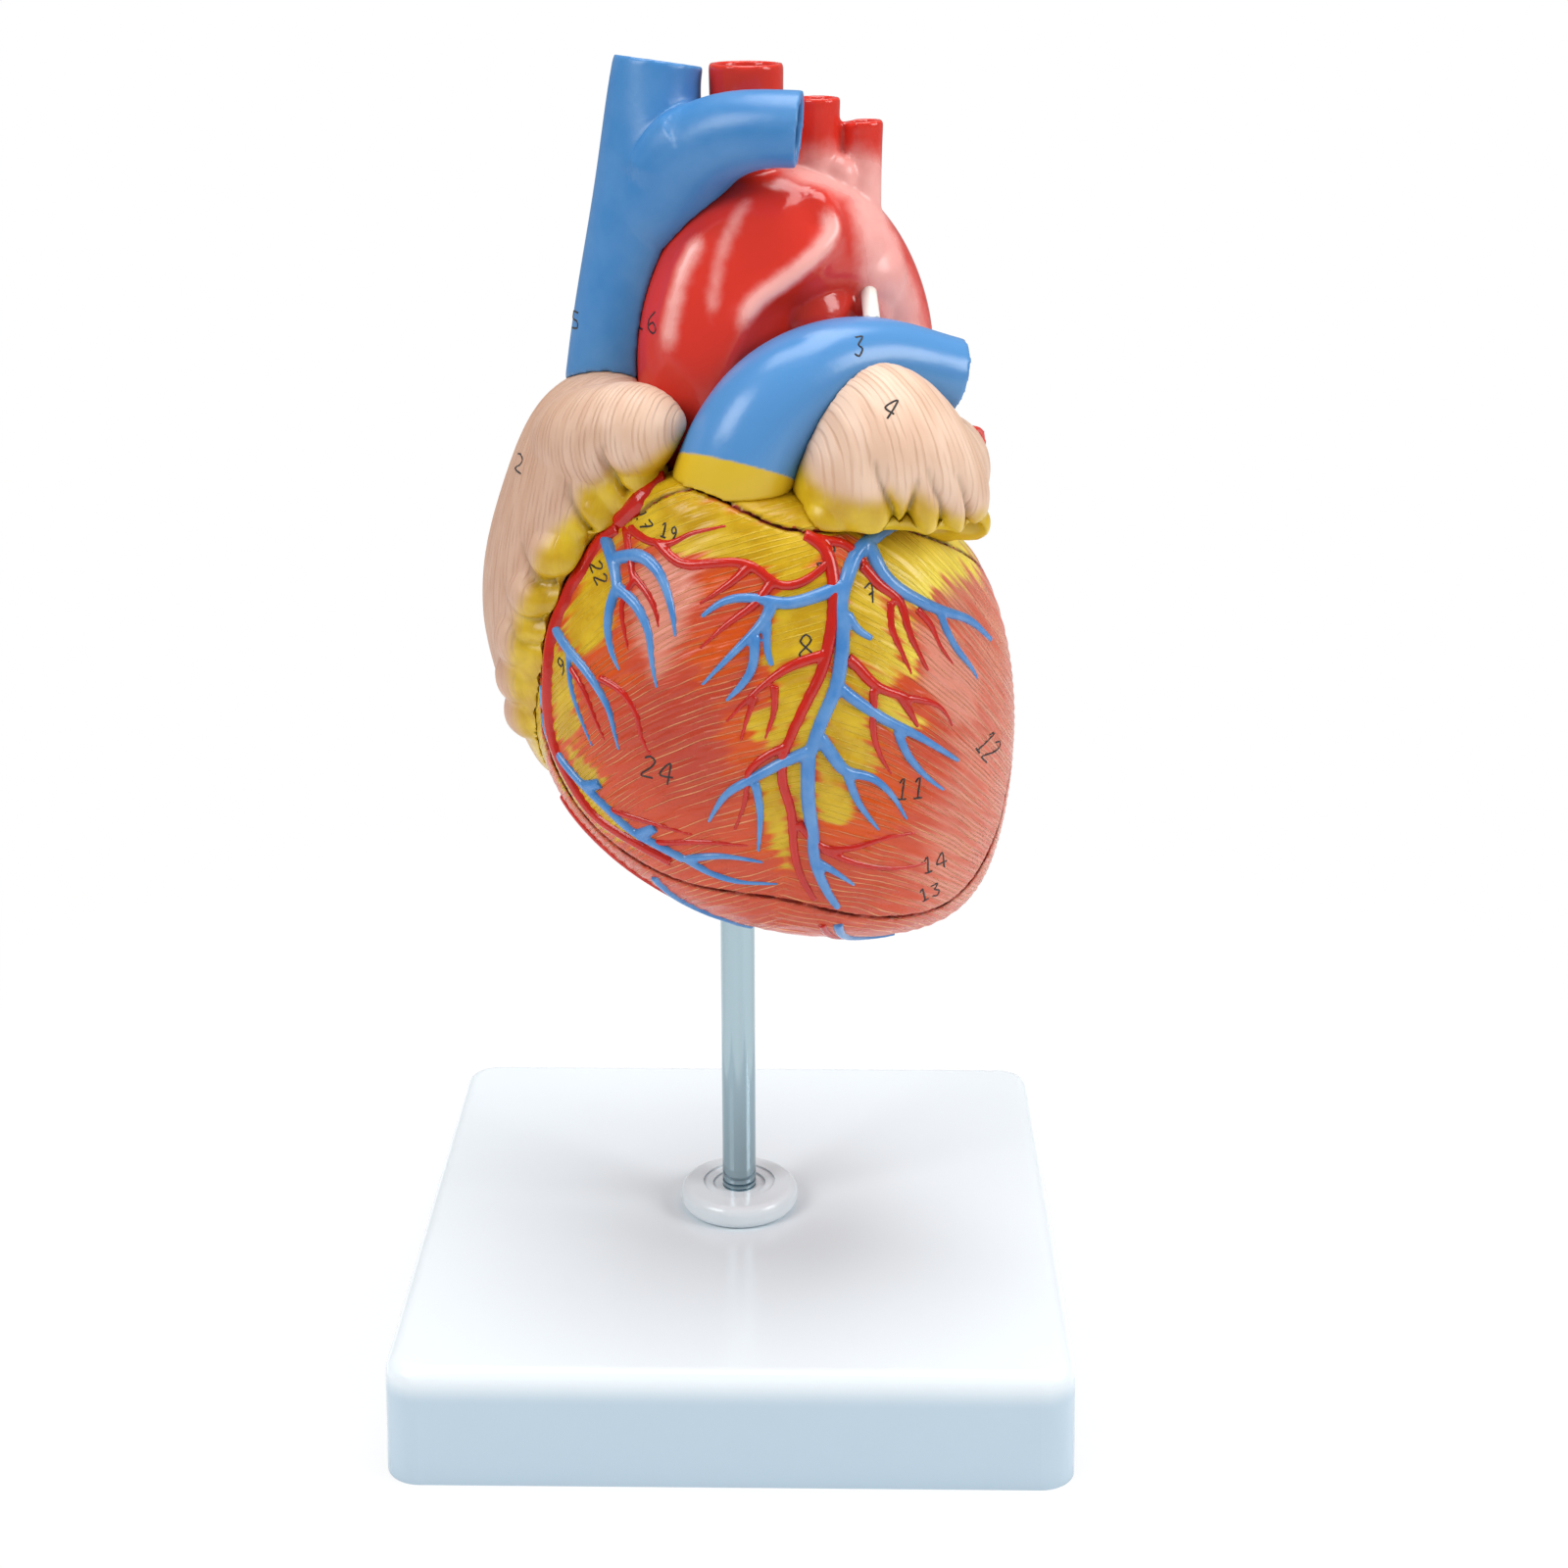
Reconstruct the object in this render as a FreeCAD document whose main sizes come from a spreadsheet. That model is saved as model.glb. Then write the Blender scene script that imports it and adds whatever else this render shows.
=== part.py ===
import FreeCAD, Part
import math
import os
import re

import Sketcher

# Human heart anatomy model, life size, on a rod and a moulded base.
# The heart lifts off its rod, and its front wall pulls off forwards to show the chambers.
#
# Frame: +Z up, -Y towards the viewer, +X to the viewer's right. The origin is the middle of the
# base's underside, on the rod's axis. Lengths are millimetres.
# Heart forms are drawn as (x, y, h): x and y from the rod's axis, h up from the heart's lowest point.

SIZES = (
    # stand
    ("base_width", 150, "side of the square base at its top"),
    ("base_height", 28, "table to the base's top face"),
    ("base_wall", 3, "thickness of the base's walls and top"),
    ("base_corner", 8, "radius of the base's upright corners"),
    ("base_edge", 3.5, "radius round the base's top"),
    ("base_draft", 1.5, "degrees that the base's sides lean outwards"),
    ("rib_thickness", 2.5, "ribs under the base"),
    ("rib_height", 12, "depth of the ribs below the base's top plate"),
    ("boss_radius", 17, "boss under the base's middle"),
    ("boss_rise", 2, "table to the boss's lower end"),
    ("well_radius", 12.5, "well in the boss for washer and nut"),
    ("seat_height", 14, "table to the face that the washer bears on"),
    ("rod_radius", 4, "support rod"),
    ("rod_foot", 4, "table to the rod's lower end"),
    ("rod_reach", 34, "heart's lowest point to the rod's upper end"),
    ("rod_chamfer", 0.6, "chamfer on the rod's ends"),
    ("thread_pitch", 1.25, "pitch of the rod's threaded foot"),
    ("thread_depth", 0.5, "depth of that thread"),
    ("thread_show", 4, "length of thread that shows above the collar"),
    ("rod_fit", 0.05, "radial clearance of the rod in the base and the socket"),
    ("collar_radius", 14, "collar on top of the base"),
    ("collar_height", 6, "collar's height"),
    ("collar_round", 2.2, "radius round the collar's rim"),
    ("collar_step", 0.5, "depth of each step round the rod"),
    ("collar_step_width", 2.3, "width of each step"),
    ("washer_radius", 10, "washer under the base's boss"),
    ("washer_thickness", 1.6, "washer"),
    ("nut_flats", 13, "nut across its flats"),
    ("nut_height", 6.5, "nut"),
    # heart as a whole
    ("heart_clearance", 100, "table to the heart's lowest point"),
    ("heart_width", 120, "heart from side to side"),
    ("heart_depth", 105, "heart from front to back"),
    ("heart_height", 195, "heart with its vessels, from bottom to top"),
    ("part_gap", 0.3, "gap between the front wall and what borders it"),
    ("socket_radius", 6.5, "outside of the socket set into the heart"),
    ("socket_roof", 3, "closed end of the socket"),
    ("atrium_wall", 3, "wall of the atria"),
    ("auricle_radius", 11, "right auricle, and the left one's neck"),
    ("lobe_radius", 8.5, "fat lobes along the atria's lower edges"),
    ("vessel_wall", 2, "wall of the great vessels"),
    # great vessels
    ("aorta_radius", 17, "ascending aorta"),
    ("trunk_radius", 13, "pulmonary trunk"),
    ("upper_cava_radius", 11, "superior vena cava"),
    ("lower_cava_radius", 10, "inferior vena cava"),
    ("arm_vein_radius", 7, "brachiocephalic vein"),
    ("arm_artery_radius", 7.9, "brachiocephalic trunk"),
    ("neck_artery_radius", 5, "left common carotid artery"),
    ("shoulder_artery_radius", 4.5, "left subclavian artery"),
    ("lung_artery_radius", 8, "right and left pulmonary arteries"),
    ("lung_vein_radius", 6.2, "pulmonary veins"),
    ("ligament_radius", 1.8, "ligament between the aorta and the pulmonary artery"),
    # inside
    ("magnet_radius", 3, "disc magnets in the parting faces"),
    ("magnet_thickness", 2, "disc magnets"),
    ("leaflet_thickness", 1, "valve leaflets"),
    ("inlet_valve_radius", 9.5, "valves between atria and ventricles"),
    ("leaflet_length", 12, "length of those valves' leaflets"),
    ("cusp_share", 0.58, "radius of a pocket of the outlet valves, as a share of the bore"),
    ("papillary_radius", 3.4, "foot of a papillary muscle"),
    ("papillary_tip_radius", 1.5, "tip of a papillary muscle"),
    ("cord_radius", 0.45, "tendinous cord"),
    # raised vessels of the heart wall
    ("groove_vessel_radius", 1.7, "coronary trunks in the grooves"),
)

doc = FreeCAD.newDocument("HeartModel")
sheet = doc.addObject("Spreadsheet::Sheet", "Sizes")
for row, (alias, number, note) in enumerate(SIZES, 1):
    sheet.set(f"A{row}", alias)
    sheet.set(f"B{row}", str(number))
    sheet.set(f"C{row}", note)
    sheet.setAlias(f"B{row}", alias)
doc.recompute()

Vec = FreeCAD.Vector
ALIASES = [entry[0] for entry in SIZES]
ALIAS_WORD = re.compile(r"\b(" + "|".join(ALIASES) + r")\b")


def size(alias):
    """A size from the sheet, in millimetres or degrees."""
    return float(sheet.get(alias))


# ---------------------------------------------------------------- parametric features


def formula(text):
    """A sheet formula as the document writes it, from bare aliases."""
    return ALIAS_WORD.sub(r"Sizes.\1", text)


def worth(text):
    """What a sheet formula comes to now."""
    return float(sheet.evalExpression(formula(text)))


def tie(owner, path, text):
    """Binds a property to a sheet formula."""
    owner.setExpression(path, formula(text))


def new_body(label):
    body = doc.addObject("PartDesign::Body", label)
    body.Label = label
    return body


def origin_item(body, role):
    """A plane or axis of the body's own origin."""
    return next(item for item in body.Origin.OriginFeatures if item.Role == role)


def new_sketch(body, name, role="XY_Plane", lift="0"):
    """Sketch on one of the body's own planes, raised along the plane's normal by a formula."""
    sketch = body.newObject("Sketcher::SketchObject", name)
    sketch.AttachmentSupport = (origin_item(body, role), "")
    sketch.MapMode = "FlatFace"
    tie(sketch, "AttachmentOffset.Base.z", lift)
    return sketch


def draw_polygon(sketch, corners):
    """Closed polygon. Each corner is a pair of formulas: across and up in the sketch."""
    first = sketch.GeometryCount
    count = len(corners)
    spots = [Vec(worth(across), worth(up), 0) for across, up in corners]
    for index in range(count):
        side = Part.LineSegment(spots[index], spots[(index + 1) % count])
        sketch.addGeometry(side, False)
    for index in range(count):
        ends = (first + index, 2, first + (index + 1) % count, 1)
        sketch.addConstraint(Sketcher.Constraint("Coincident", *ends))
    for index, corner in enumerate(corners):
        for kind, text, axis in zip(("DistanceX", "DistanceY"), corner, (-2, -1)):
            start = (first + index, 1)
            if text == "0":
                sketch.addConstraint(Sketcher.Constraint("PointOnObject", *start, axis))
                continue
            fixed = Sketcher.Constraint(kind, -1, 1, *start, worth(text))
            number = sketch.addConstraint(fixed)
            tie(sketch, f"Constraints[{number}]", text)


def draw_rectangle(sketch, wide, long):
    """Rectangle about the sketch's origin, from formulas for its two sides."""
    right, top = f"({wide}) / 2", f"({long}) / 2"
    left, bottom = f"-({wide}) / 2", f"-({long}) / 2"
    draw_polygon(sketch, ((left, bottom), (right, bottom), (right, top), (left, top)))


def draw_circle(sketch, radius):
    """Circle about the sketch's origin."""
    number = sketch.addGeometry(Part.Circle(Vec(), Vec(0, 0, 1), worth(radius)), False)
    sketch.addConstraint(Sketcher.Constraint("Coincident", number, 3, -1, 1))
    fixed = sketch.addConstraint(Sketcher.Constraint("Radius", number, worth(radius)))
    tie(sketch, f"Constraints[{fixed}]", radius)


def pad(body, sketch, length, upwards=True):
    feature = body.newObject("PartDesign::Pad", "Pad")
    feature.Profile = sketch
    feature.Reversed = not upwards
    tie(feature, "Length", length)
    return feature


def pocket(body, sketch, length, upwards=True):
    feature = body.newObject("PartDesign::Pocket", "Pocket")
    feature.Profile = sketch
    feature.Reversed = upwards
    tie(feature, "Length", length)
    return feature


def revolve(body, corners):
    """Solid of revolution about the body's Z axis, from a profile of (radius, height) formulas."""
    sketch = new_sketch(body, "Profile", "XZ_Plane")
    draw_polygon(sketch, corners)
    feature = body.newObject("PartDesign::Revolution", "Revolution")
    feature.Profile = sketch
    feature.ReferenceAxis = (sketch, ["V_Axis"])
    feature.Angle = 360
    return feature


def round_edges(body, base, wanted, radius):
    """Fillet on the edges of the base feature that pass the test."""
    doc.recompute()
    edges = enumerate(base.Shape.Edges, 1)
    names = [f"Edge{number}" for number, edge in edges if wanted(edge)]
    feature = body.newObject("PartDesign::Fillet", "Fillet")
    feature.Base = (base, names)
    tie(feature, "Radius", radius)
    return feature


def is_upright(edge):
    low, high = edge.BoundBox.ZMin, edge.BoundBox.ZMax
    return high - low > worth("base_height") / 2


def raise_to(body, height):
    """Stands a body at a height given as a formula."""
    tie(body, "Placement.Base.z", height)


# ---------------------------------------------------------------- stand


def make_base_plate():
    """Moulded tray, open below, with crossed ribs and a boss that the rod is bolted through."""
    body = new_body("base_plate")
    inside_height = "base_height - base_wall"
    outline = new_sketch(body, "Outline")
    draw_rectangle(outline, *["base_width + 2 * base_height * tan(base_draft * 1deg)"] * 2)
    block = pad(body, outline, "base_height")
    tie(block, "TaperAngle", "-base_draft")
    corners = round_edges(body, block, is_upright, "base_corner")

    def at_top(edge):
        return edge.BoundBox.ZMin > worth("base_height") - 1e-3

    round_edges(body, corners, at_top, "base_edge")
    hollow = new_sketch(body, "Hollow")
    draw_rectangle(hollow, *["base_width - 2 * base_wall"] * 2)
    tray = pocket(body, hollow, inside_height)

    def in_corner(edge):
        middle = edge.CenterOfMass
        reach = worth("base_width / 2 - base_wall")
        near = abs(abs(middle.x) - reach) < 1e-3 and abs(abs(middle.y) - reach) < 1e-3
        return is_upright(edge) and near

    round_edges(body, tray, in_corner, "base_corner - base_wall")
    rib_foot = "base_height - base_wall - rib_height"
    for name, sides in (
        ("RibAcross", ("base_width - base_wall", "rib_thickness")),
        ("RibAlong", ("rib_thickness", "base_width - base_wall")),
    ):
        rib = new_sketch(body, name, lift=rib_foot)
        draw_rectangle(rib, *sides)
        pad(body, rib, "rib_height")
    boss = new_sketch(body, "Boss", lift="boss_rise")
    draw_circle(boss, "boss_radius")
    pad(body, boss, f"{inside_height} - boss_rise")
    well = new_sketch(body, "Well")
    draw_circle(well, "well_radius")
    pocket(body, well, "seat_height")
    hole = new_sketch(body, "RodHole")
    draw_circle(hole, "rod_radius + rod_fit")
    pocket(body, hole, "base_height + 1")
    return body


def make_rod_collar():
    """Round flange that the rod is screwed through, with two steps round the rod."""
    body = new_body("rod_collar")
    step_one = "rod_radius + 2 * collar_step_width"
    step_two = "rod_radius + collar_step_width"
    first_floor = "collar_height - collar_step"
    second_floor = "collar_height - 2 * collar_step"
    disc = revolve(
        body,
        (
            ("rod_radius", "0"),
            ("collar_radius", "0"),
            ("collar_radius", "collar_height - collar_step"),
            (step_one, "collar_height"),
            (step_one, first_floor),
            (step_two, first_floor),
            (step_two, second_floor),
            ("rod_radius", second_floor),
        ),
    )

    def on_rim(edge):
        return abs(edge.BoundBox.XMax - worth("collar_radius")) < 1e-3 and edge.Length > 1.5 * math.tau

    def is_rim_circle(edge):
        flat = edge.BoundBox.ZMax - edge.BoundBox.ZMin < 1e-3
        return flat and on_rim(edge)

    round_edges(body, disc, is_rim_circle, "collar_round")
    raise_to(body, "base_height")
    return body


def make_support_rod():
    """Steel rod with chamfered ends and a threaded foot, cut here as plain rings."""
    body = new_body("support_rod")
    length = "heart_clearance + rod_reach - rod_foot"
    revolve(
        body,
        (
            ("0", "0"),
            ("rod_radius - rod_chamfer", "0"),
            ("rod_radius", "rod_chamfer"),
            ("rod_radius", f"{length} - rod_chamfer"),
            ("rod_radius - rod_chamfer", length),
            ("0", length),
        ),
    )
    thread_end = "base_height + collar_height - 2 * collar_step + thread_show - rod_foot"
    turns = f"floor(({thread_end} - 2 * thread_pitch) / thread_pitch)"
    ring = new_sketch(body, "ThreadRing", "XZ_Plane")
    draw_polygon(
        ring,
        (
            ("rod_radius - thread_depth", "1.5 * thread_pitch"),
            ("rod_radius + thread_depth / 5", "1.5 * thread_pitch - 0.6 * thread_depth"),
            ("rod_radius + thread_depth / 5", "1.5 * thread_pitch + 0.6 * thread_depth"),
        ),
    )
    groove = body.newObject("PartDesign::Groove", "Thread")
    groove.Profile = ring
    groove.ReferenceAxis = (ring, ["V_Axis"])
    groove.Angle = 360
    doc.recompute()
    rings = body.newObject("PartDesign::LinearPattern", "ThreadTurns")
    rings.Originals = [groove]
    rings.Direction = (origin_item(body, "Z_Axis"), [""])
    tie(rings, "Length", f"({turns} - 1) * thread_pitch")
    tie(rings, "Occurrences", turns)
    body.Tip = rings
    raise_to(body, "rod_foot")
    return body


def make_rod_washer():
    body = new_body("rod_washer")
    ring = new_sketch(body, "Ring")
    draw_circle(ring, "washer_radius")
    draw_circle(ring, "rod_radius + rod_fit")
    pad(body, ring, "washer_thickness")
    raise_to(body, "seat_height - washer_thickness")
    return body


def make_rod_nut():
    """Hexagon nut under the washer."""
    body = new_body("rod_nut")
    outline = new_sketch(body, "Hexagon")
    corner, half = "nut_flats / sqrt(3)", "nut_flats / 2"
    draw_polygon(
        outline,
        (
            (corner, "0"),
            (f"{corner} / 2", half),
            (f"-{corner} / 2", half),
            (f"-{corner}", "0"),
            (f"-{corner} / 2", f"-{half}"),
            (f"{corner} / 2", f"-{half}"),
        ),
    )
    draw_circle(outline, "rod_radius")
    pad(body, outline, "nut_height")
    raise_to(body, "seat_height - washer_thickness - nut_height")
    return body


# ---------------------------------------------------------------- heart forms

NATURAL_WIDTH = 120.0
NATURAL_DEPTH = 105.0
NATURAL_HEIGHT = 195.0
STRETCH_X = size("heart_width") / NATURAL_WIDTH
STRETCH_Y = size("heart_depth") / NATURAL_DEPTH
STRETCH_Z = size("heart_height") / NATURAL_HEIGHT
RING_POINTS = 16
FAR = 2 * size("heart_width")

# Forms stacked from level rings: (h, left x, right x, front y, back y).
# The first and last entries are the poles (x, y, h) that close the form.
VENTRICLES = (
    (30, 2, 0),
    (1.2, 19, 40, -6, 10),
    (4, 7, 47, -13.5, 18),
    (9, -7, 52.5, -25.5, 25),
    (17, -21, 57, -36, 30),
    (30, -35, 60.5, -43, 35),
    (48, -44, 62.3, -46, 38),
    (66, -45.5, 61.2, -46.5, 38),
    (82, -42, 57, -45, 35),
    (95, -34, 49, -42, 27),
    (104, -25.5, 34, -38.5, 14),
    (110, -18.5, 15, -34.5, -4),
    (112.5, -12, 6, -30, -14),
    (-3, -22, 113.5),
)
LEFT_CHAMBER = (
    (40, -5, 17),
    (20, 32, 48, -14, 2),
    (28, 26, 50.5, -25, 10),
    (40, 21.5, 52, -29, 20),
    (55, 18, 52, -31, 26),
    (70, 16, 50.5, -30, 27),
    (80, 17, 46, -26, 24),
    (87, 21, 40, -16, 14),
    (30, -1, 90),
)
RIGHT_CHAMBER = (
    (-2, -27, 19),
    (22, -10, 8, -31, -22),
    (29, -20, 13, -34, -17),
    (38, -28, 11, -35, -11),
    (48, -33, 8.5, -36, 1),
    (58, -35, 6.5, -36, 12),
    (70, -35, 5.5, -36, 17),
    (82, -32, 5.5, -36, 14),
    (93, -26, 6, -35, -4),
    (101, -15, 9, -33, -13),
    (-2, -23, 106),
)
RIGHT_ATRIUM = (
    (-38, 8, 36),
    (39, -45, -31, -4, 20),
    (47, -48.8, -25, -14, 30),
    (60, -53.8, -19, -20, 36),
    (75, -56.7, -15, -23, 38),
    (90, -55.5, -13, -24, 38),
    (105, -51, -12, -24, 35),
    (117, -46, -14, -22, 28),
    (126, -39, -18, -15, 18),
    (-28, 1, 131),
)
LEFT_ATRIUM = (
    (10, 31, 79),
    (82, -8, 28, 20, 43),
    (90, -22, 40, 12, 51),
    (102, -27, 44, 9, 56),
    (113, -22, 40, 12, 52),
    (120, -8, 28, 20, 43),
    (10, 32, 122.5),
)
LEFT_AURICLE = (
    (33, -21, 96.5),
    (99, 18, 50, -32, -12),
    (106, 12.5, 54, -38, -8),
    (116, 13.5, 52.5, -39, -6),
    (125, 17, 47.5, -36, -8),
    (132, 22, 41, -30, -13),
    (31, -21, 136),
)

# Routes of round forms: (x, y, h, share of a radius from the sheet).
AORTA = (
    (7, 3, 96, 0.76),
    (1.5, 1, 108, 0.88),
    (-3, 0, 122, 0.97),
    (-3.5, 1, 138, 1.0),
    (2.5, 4, 152.6, 1.02),
    (14, 9, 155.3, 1.0),
    (24.2, 15, 150, 0.81),
    (30, 19, 138, 0.75),
    (31, 22, 124, 0.70),
)
ARM_ARTERY = ((4, 8, 155, 1.1), (3, 8, 175, 1.0), (2.7, 8, 193.5, 1.0))
NECK_ARTERY = ((16, 10, 155, 1.7), (17.2, 10, 169, 1.06), (17.6, 10, 178, 0.95), (17.7, 10, 186.5, 0.98))
SHOULDER_ARTERY = (
    (23.5, 12, 152, 1.9),
    (26.2, 12, 165, 1.2),
    (27.2, 12, 173, 0.97),
    (27.3, 12, 181.5, 1.0),
)
PULMONARY_TRUNK = (
    (-1, -20.5, 99, 1.06),
    (-0.3, -21.5, 107, 1.02),
    (3, -22.5, 118, 0.95),
    (9.5, -20.5, 127.5, 0.88),
    (19, -16, 133, 0.80),
    (30, -10, 134, 0.72),
    (40, -6, 132, 0.65),
    (47.5, -3.5, 130, 0.61),
)
RIGHT_LUNG_ARTERY = (
    (22, -6, 131, 1.0),
    (20, 6, 131, 0.9),
    (14, 20, 130.5, 0.9),
    (2, 28, 130.5, 0.93),
    (-16, 30, 130, 0.95),
    (-34, 27, 130, 0.95),
)
UPPER_CAVA = (
    (-27, 8, 112, 1.11),
    (-24.5, 8, 130, 1.1),
    (-21.5, 8, 148, 1.09),
    (-18.3, 7.4, 165, 1.08),
    (-17, 7, 180, 0.97),
    (-15.6, 7.5, 194, 0.86),
)
ARM_VEIN = (
    (-17.5, 6, 160, 1.5),
    (-12, 1.5, 170.5, 1.55),
    (-4, -4.5, 178.5, 1.33),
    (4, -8.5, 181.3, 1.17),
    (14.2, -11, 181.7, 1.12),
)
LOWER_CAVA = ((-36, 22, 56, 1.0), (-33, 31, 43, 1.0), (-30, 37, 30, 1.0))
RIGHT_AURICLE = (
    (-33, 0, 112, 0.9),
    (-30.5, -11, 116.5, 1.1),
    (-23, -19, 120.5, 0.98),
    (-16, -21.5, 122.5, 0.8),
    (-12.5, -22.3, 123, 0.55),
)
AURICLE_NECK = ((38, -16, 112, 1.25), (43, 0, 109, 1.15), (38, 20, 106, 1.15))
LUNG_VEINS = {
    "left_upper_pulmonary_vein": ((36, 26, 110, 1.0), (53.2, 16.5, 108.5, 1.0)),
    "left_lower_pulmonary_vein": ((36, 30, 97, 1.0), (52, 24, 95.5, 1.0)),
    "right_upper_pulmonary_vein": ((-14, 40, 108, 1.0), (-35, 48, 110, 1.0)),
    "right_lower_pulmonary_vein": ((-14, 41, 95, 1.0), (-35, 49, 93, 1.0)),
}
# Blood's ways through the solid part of the ventricles, with the valves' places along them.
TRICUSPID_WAY = ((-53, 12.5, 84.5), (-24, 8.5, 79))
MITRAL_WAY = ((27, 38, 97), (30.5, 11, 77))
AORTIC_WAY = ((31, 0, 80, 1.0), (19, 4, 92, 1.0), (7.5, 3.5, 100, 1.0))
INLET_VALVES_AT = 0.62
# Height of an inlet valve's ring, in thicknesses of its leaflets.
VALVE_RING = 2.5
AORTIC_VALVE_AT = (1.5, 1, 108)
PULMONARY_VALVE_AT = (-0.3, -21.5, 107)
# Fat lobes along the edges of the atria: (x, y, h, share of the lobes' radius).
RIGHT_LOBES = (
    (-21.5, -18, 110.5, 1.0),
    (-29.5, -17, 102.5, 1.0),
    (-36, -16.5, 94, 1.06),
    (-41, -15, 84.5, 1.0),
    (-44.5, -12.5, 74.5, 0.94),
    (-45.3, -10, 65, 0.88),
    (-44.5, -7.5, 56, 0.82),
)
LEFT_LOBES = (
    (21, -29, 105, 0.85),
    (30, -30.5, 103.5, 0.8),
    (38, -29, 104, 0.66),
    (44.5, -25.5, 102.5, 0.66),
    (50, -20.5, 102, 0.56),
)
# Ligament between the arch and the pulmonary artery.
LIGAMENT = ((29.8, -11, 140), (28.3, 8, 150))
# Papillary muscles: foot and tip, with the spots on the leaflets that their cords reach.
PAPILLARY_MUSCLES = {
    "right": ((-10, 16, 48), (-17, 6.5, 61), ((-25, 4.5, 76), (-23.5, 8.5, 75), (-24, 12.5, 76.5))),
    "left_front": ((47, 12, 33), (41, 7, 52), ((35, 12, 75), (33, 9.5, 73), (30.5, 8.5, 73))),
    "left_rear": ((26, 24, 36), (27, 14, 51), ((29, 18, 75), (27, 15, 74.5), (25.5, 12.5, 75.5))),
}
# Coronary trunks in the grooves: (x, h) on the front or the back of the heart.
FRONT_VESSELS = {
    "right_coronary_artery": (
        (-16, 105.5),
        (-22, 100),
        (-28, 93),
        (-33.5, 84),
        (-36.5, 74),
        (-37.5, 63),
        (-36, 52),
        (-31, 41),
        (-23, 31),
        (-12, 23.5),
    ),
    "anterior_descending_artery": (
        (15.5, 97),
        (19, 91),
        (21, 83),
        (20.5, 73),
        (18, 63),
        (12.5, 54),
        (9, 45),
        (10.5, 34),
        (14, 24),
    ),
    "great_cardiac_vein": (
        (33, 96),
        (27, 91),
        (24, 84),
        (23, 73),
        (21.5, 64),
        (17.5, 54),
        (15.5, 44),
        (17, 33),
        (20.5, 23),
        (27, 15),
    ),
    "anterior_cardiac_vein": (
        (-27, 93),
        (-24, 87),
        (-23.5, 81),
        (-20.5, 77.5),
        (-16.5, 69),
        (-14.5, 61),
    ),
}
BACK_VESSELS = {
    "coronary_sinus": ((47, 90), (34, 84), (20, 79.5), (6, 76.5), (-9, 75), (-24, 76)),
    "posterior_descending_artery": ((-3, 70), (3, 56), (10, 42), (18, 29), (26, 18)),
    "middle_cardiac_vein": ((-11, 71), (-5, 56), (3, 41), (12, 27), (20, 17)),
}

# Front outline of the front wall (x, h): from the right along its lower edge, up the groove on the
# left and along its top.
FRONT_OUTLINE = (
    (80, 47),
    (66, 41),
    (59.5, 33),
    (54.5, 23.5),
    (47, 17),
    (37, 16.5),
    (25, 19.5),
    (10, 24.5),
    (-10, 26),
    (-23, 30.5),
    (-32, 37),
    (-37.5, 45),
    (-40.2, 51.5),
    (-41, 59),
    (-40.6, 67),
    (-39.5, 77),
    (-36, 86.5),
    (-30.5, 96),
    (-24, 103),
    (-18.5, 108.5),
    (-12.5, 111.5),
    (-1, 109.5),
    (12, 104.2),
    (21.5, 103.3),
    (34, 103),
    (44, 102.2),
    (54, 101.6),
    (80, 101),
)
# The parting face in side view: y on its straight stretches, and the levels h where each ends.
SEAM_LOW_Y, SEAM_MIDDLE_Y, SEAM_TOP_Y = -14, 0, -32
SEAM_LEVELS = (34, 60, 76, 118)
SEAM_FLOOR = -20
# Magnet pairs in the parting face, on its straight stretches: (x, y, h).
MAGNETS = {
    "right": (56.5, SEAM_MIDDLE_Y, 67),
    "middle": (11.7, SEAM_MIDDLE_Y, 64.5),
    "lower": (19.5, SEAM_LOW_Y, 29),
}


def spot(x, y, h):
    """A point of the heart in the model's frame."""
    return Vec(x * STRETCH_X, y * STRETCH_Y, size("heart_clearance") + h * STRETCH_Z)


def ring(level, inset):
    """Closed smooth outline at one level, drawn in by an inset."""
    h, left, right, front, back = level
    middle = spot((left + right) / 2, (front + back) / 2, h)
    half_x = (right - left) / 2 * STRETCH_X - inset
    half_y = (back - front) / 2 * STRETCH_Y - inset
    points = []
    for step in range(RING_POINTS):
        turn = math.tau * step / RING_POINTS
        points.append(middle + Vec(half_x * math.cos(turn), half_y * math.sin(turn), 0))
    outline = Part.BSplineCurve()
    outline.interpolate(Points=points, PeriodicFlag=True)
    return Part.Wire(outline.toShape())


def stacked(form, inset=0):
    """Smooth solid through level rings, closed at its two poles. An inset gives its hollow."""
    rise = Vec(0, 0, inset)
    bottom = Part.Vertex(spot(*form[0]) + rise)
    top = Part.Vertex(spot(*form[-1]) - rise)
    rings = [ring(level, inset) for level in form[1:-1]]
    return Part.makeLoft([bottom, *rings, top], True)


def circle_wire(centre, across, up, radius):
    points = []
    for step in range(RING_POINTS):
        turn = math.tau * step / RING_POINTS
        points.append(centre + (across * math.cos(turn) + up * math.sin(turn)) * radius)
    outline = Part.BSplineCurve()
    outline.interpolate(Points=points, PeriodicFlag=True)
    return Part.Wire(outline.toShape())


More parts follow.
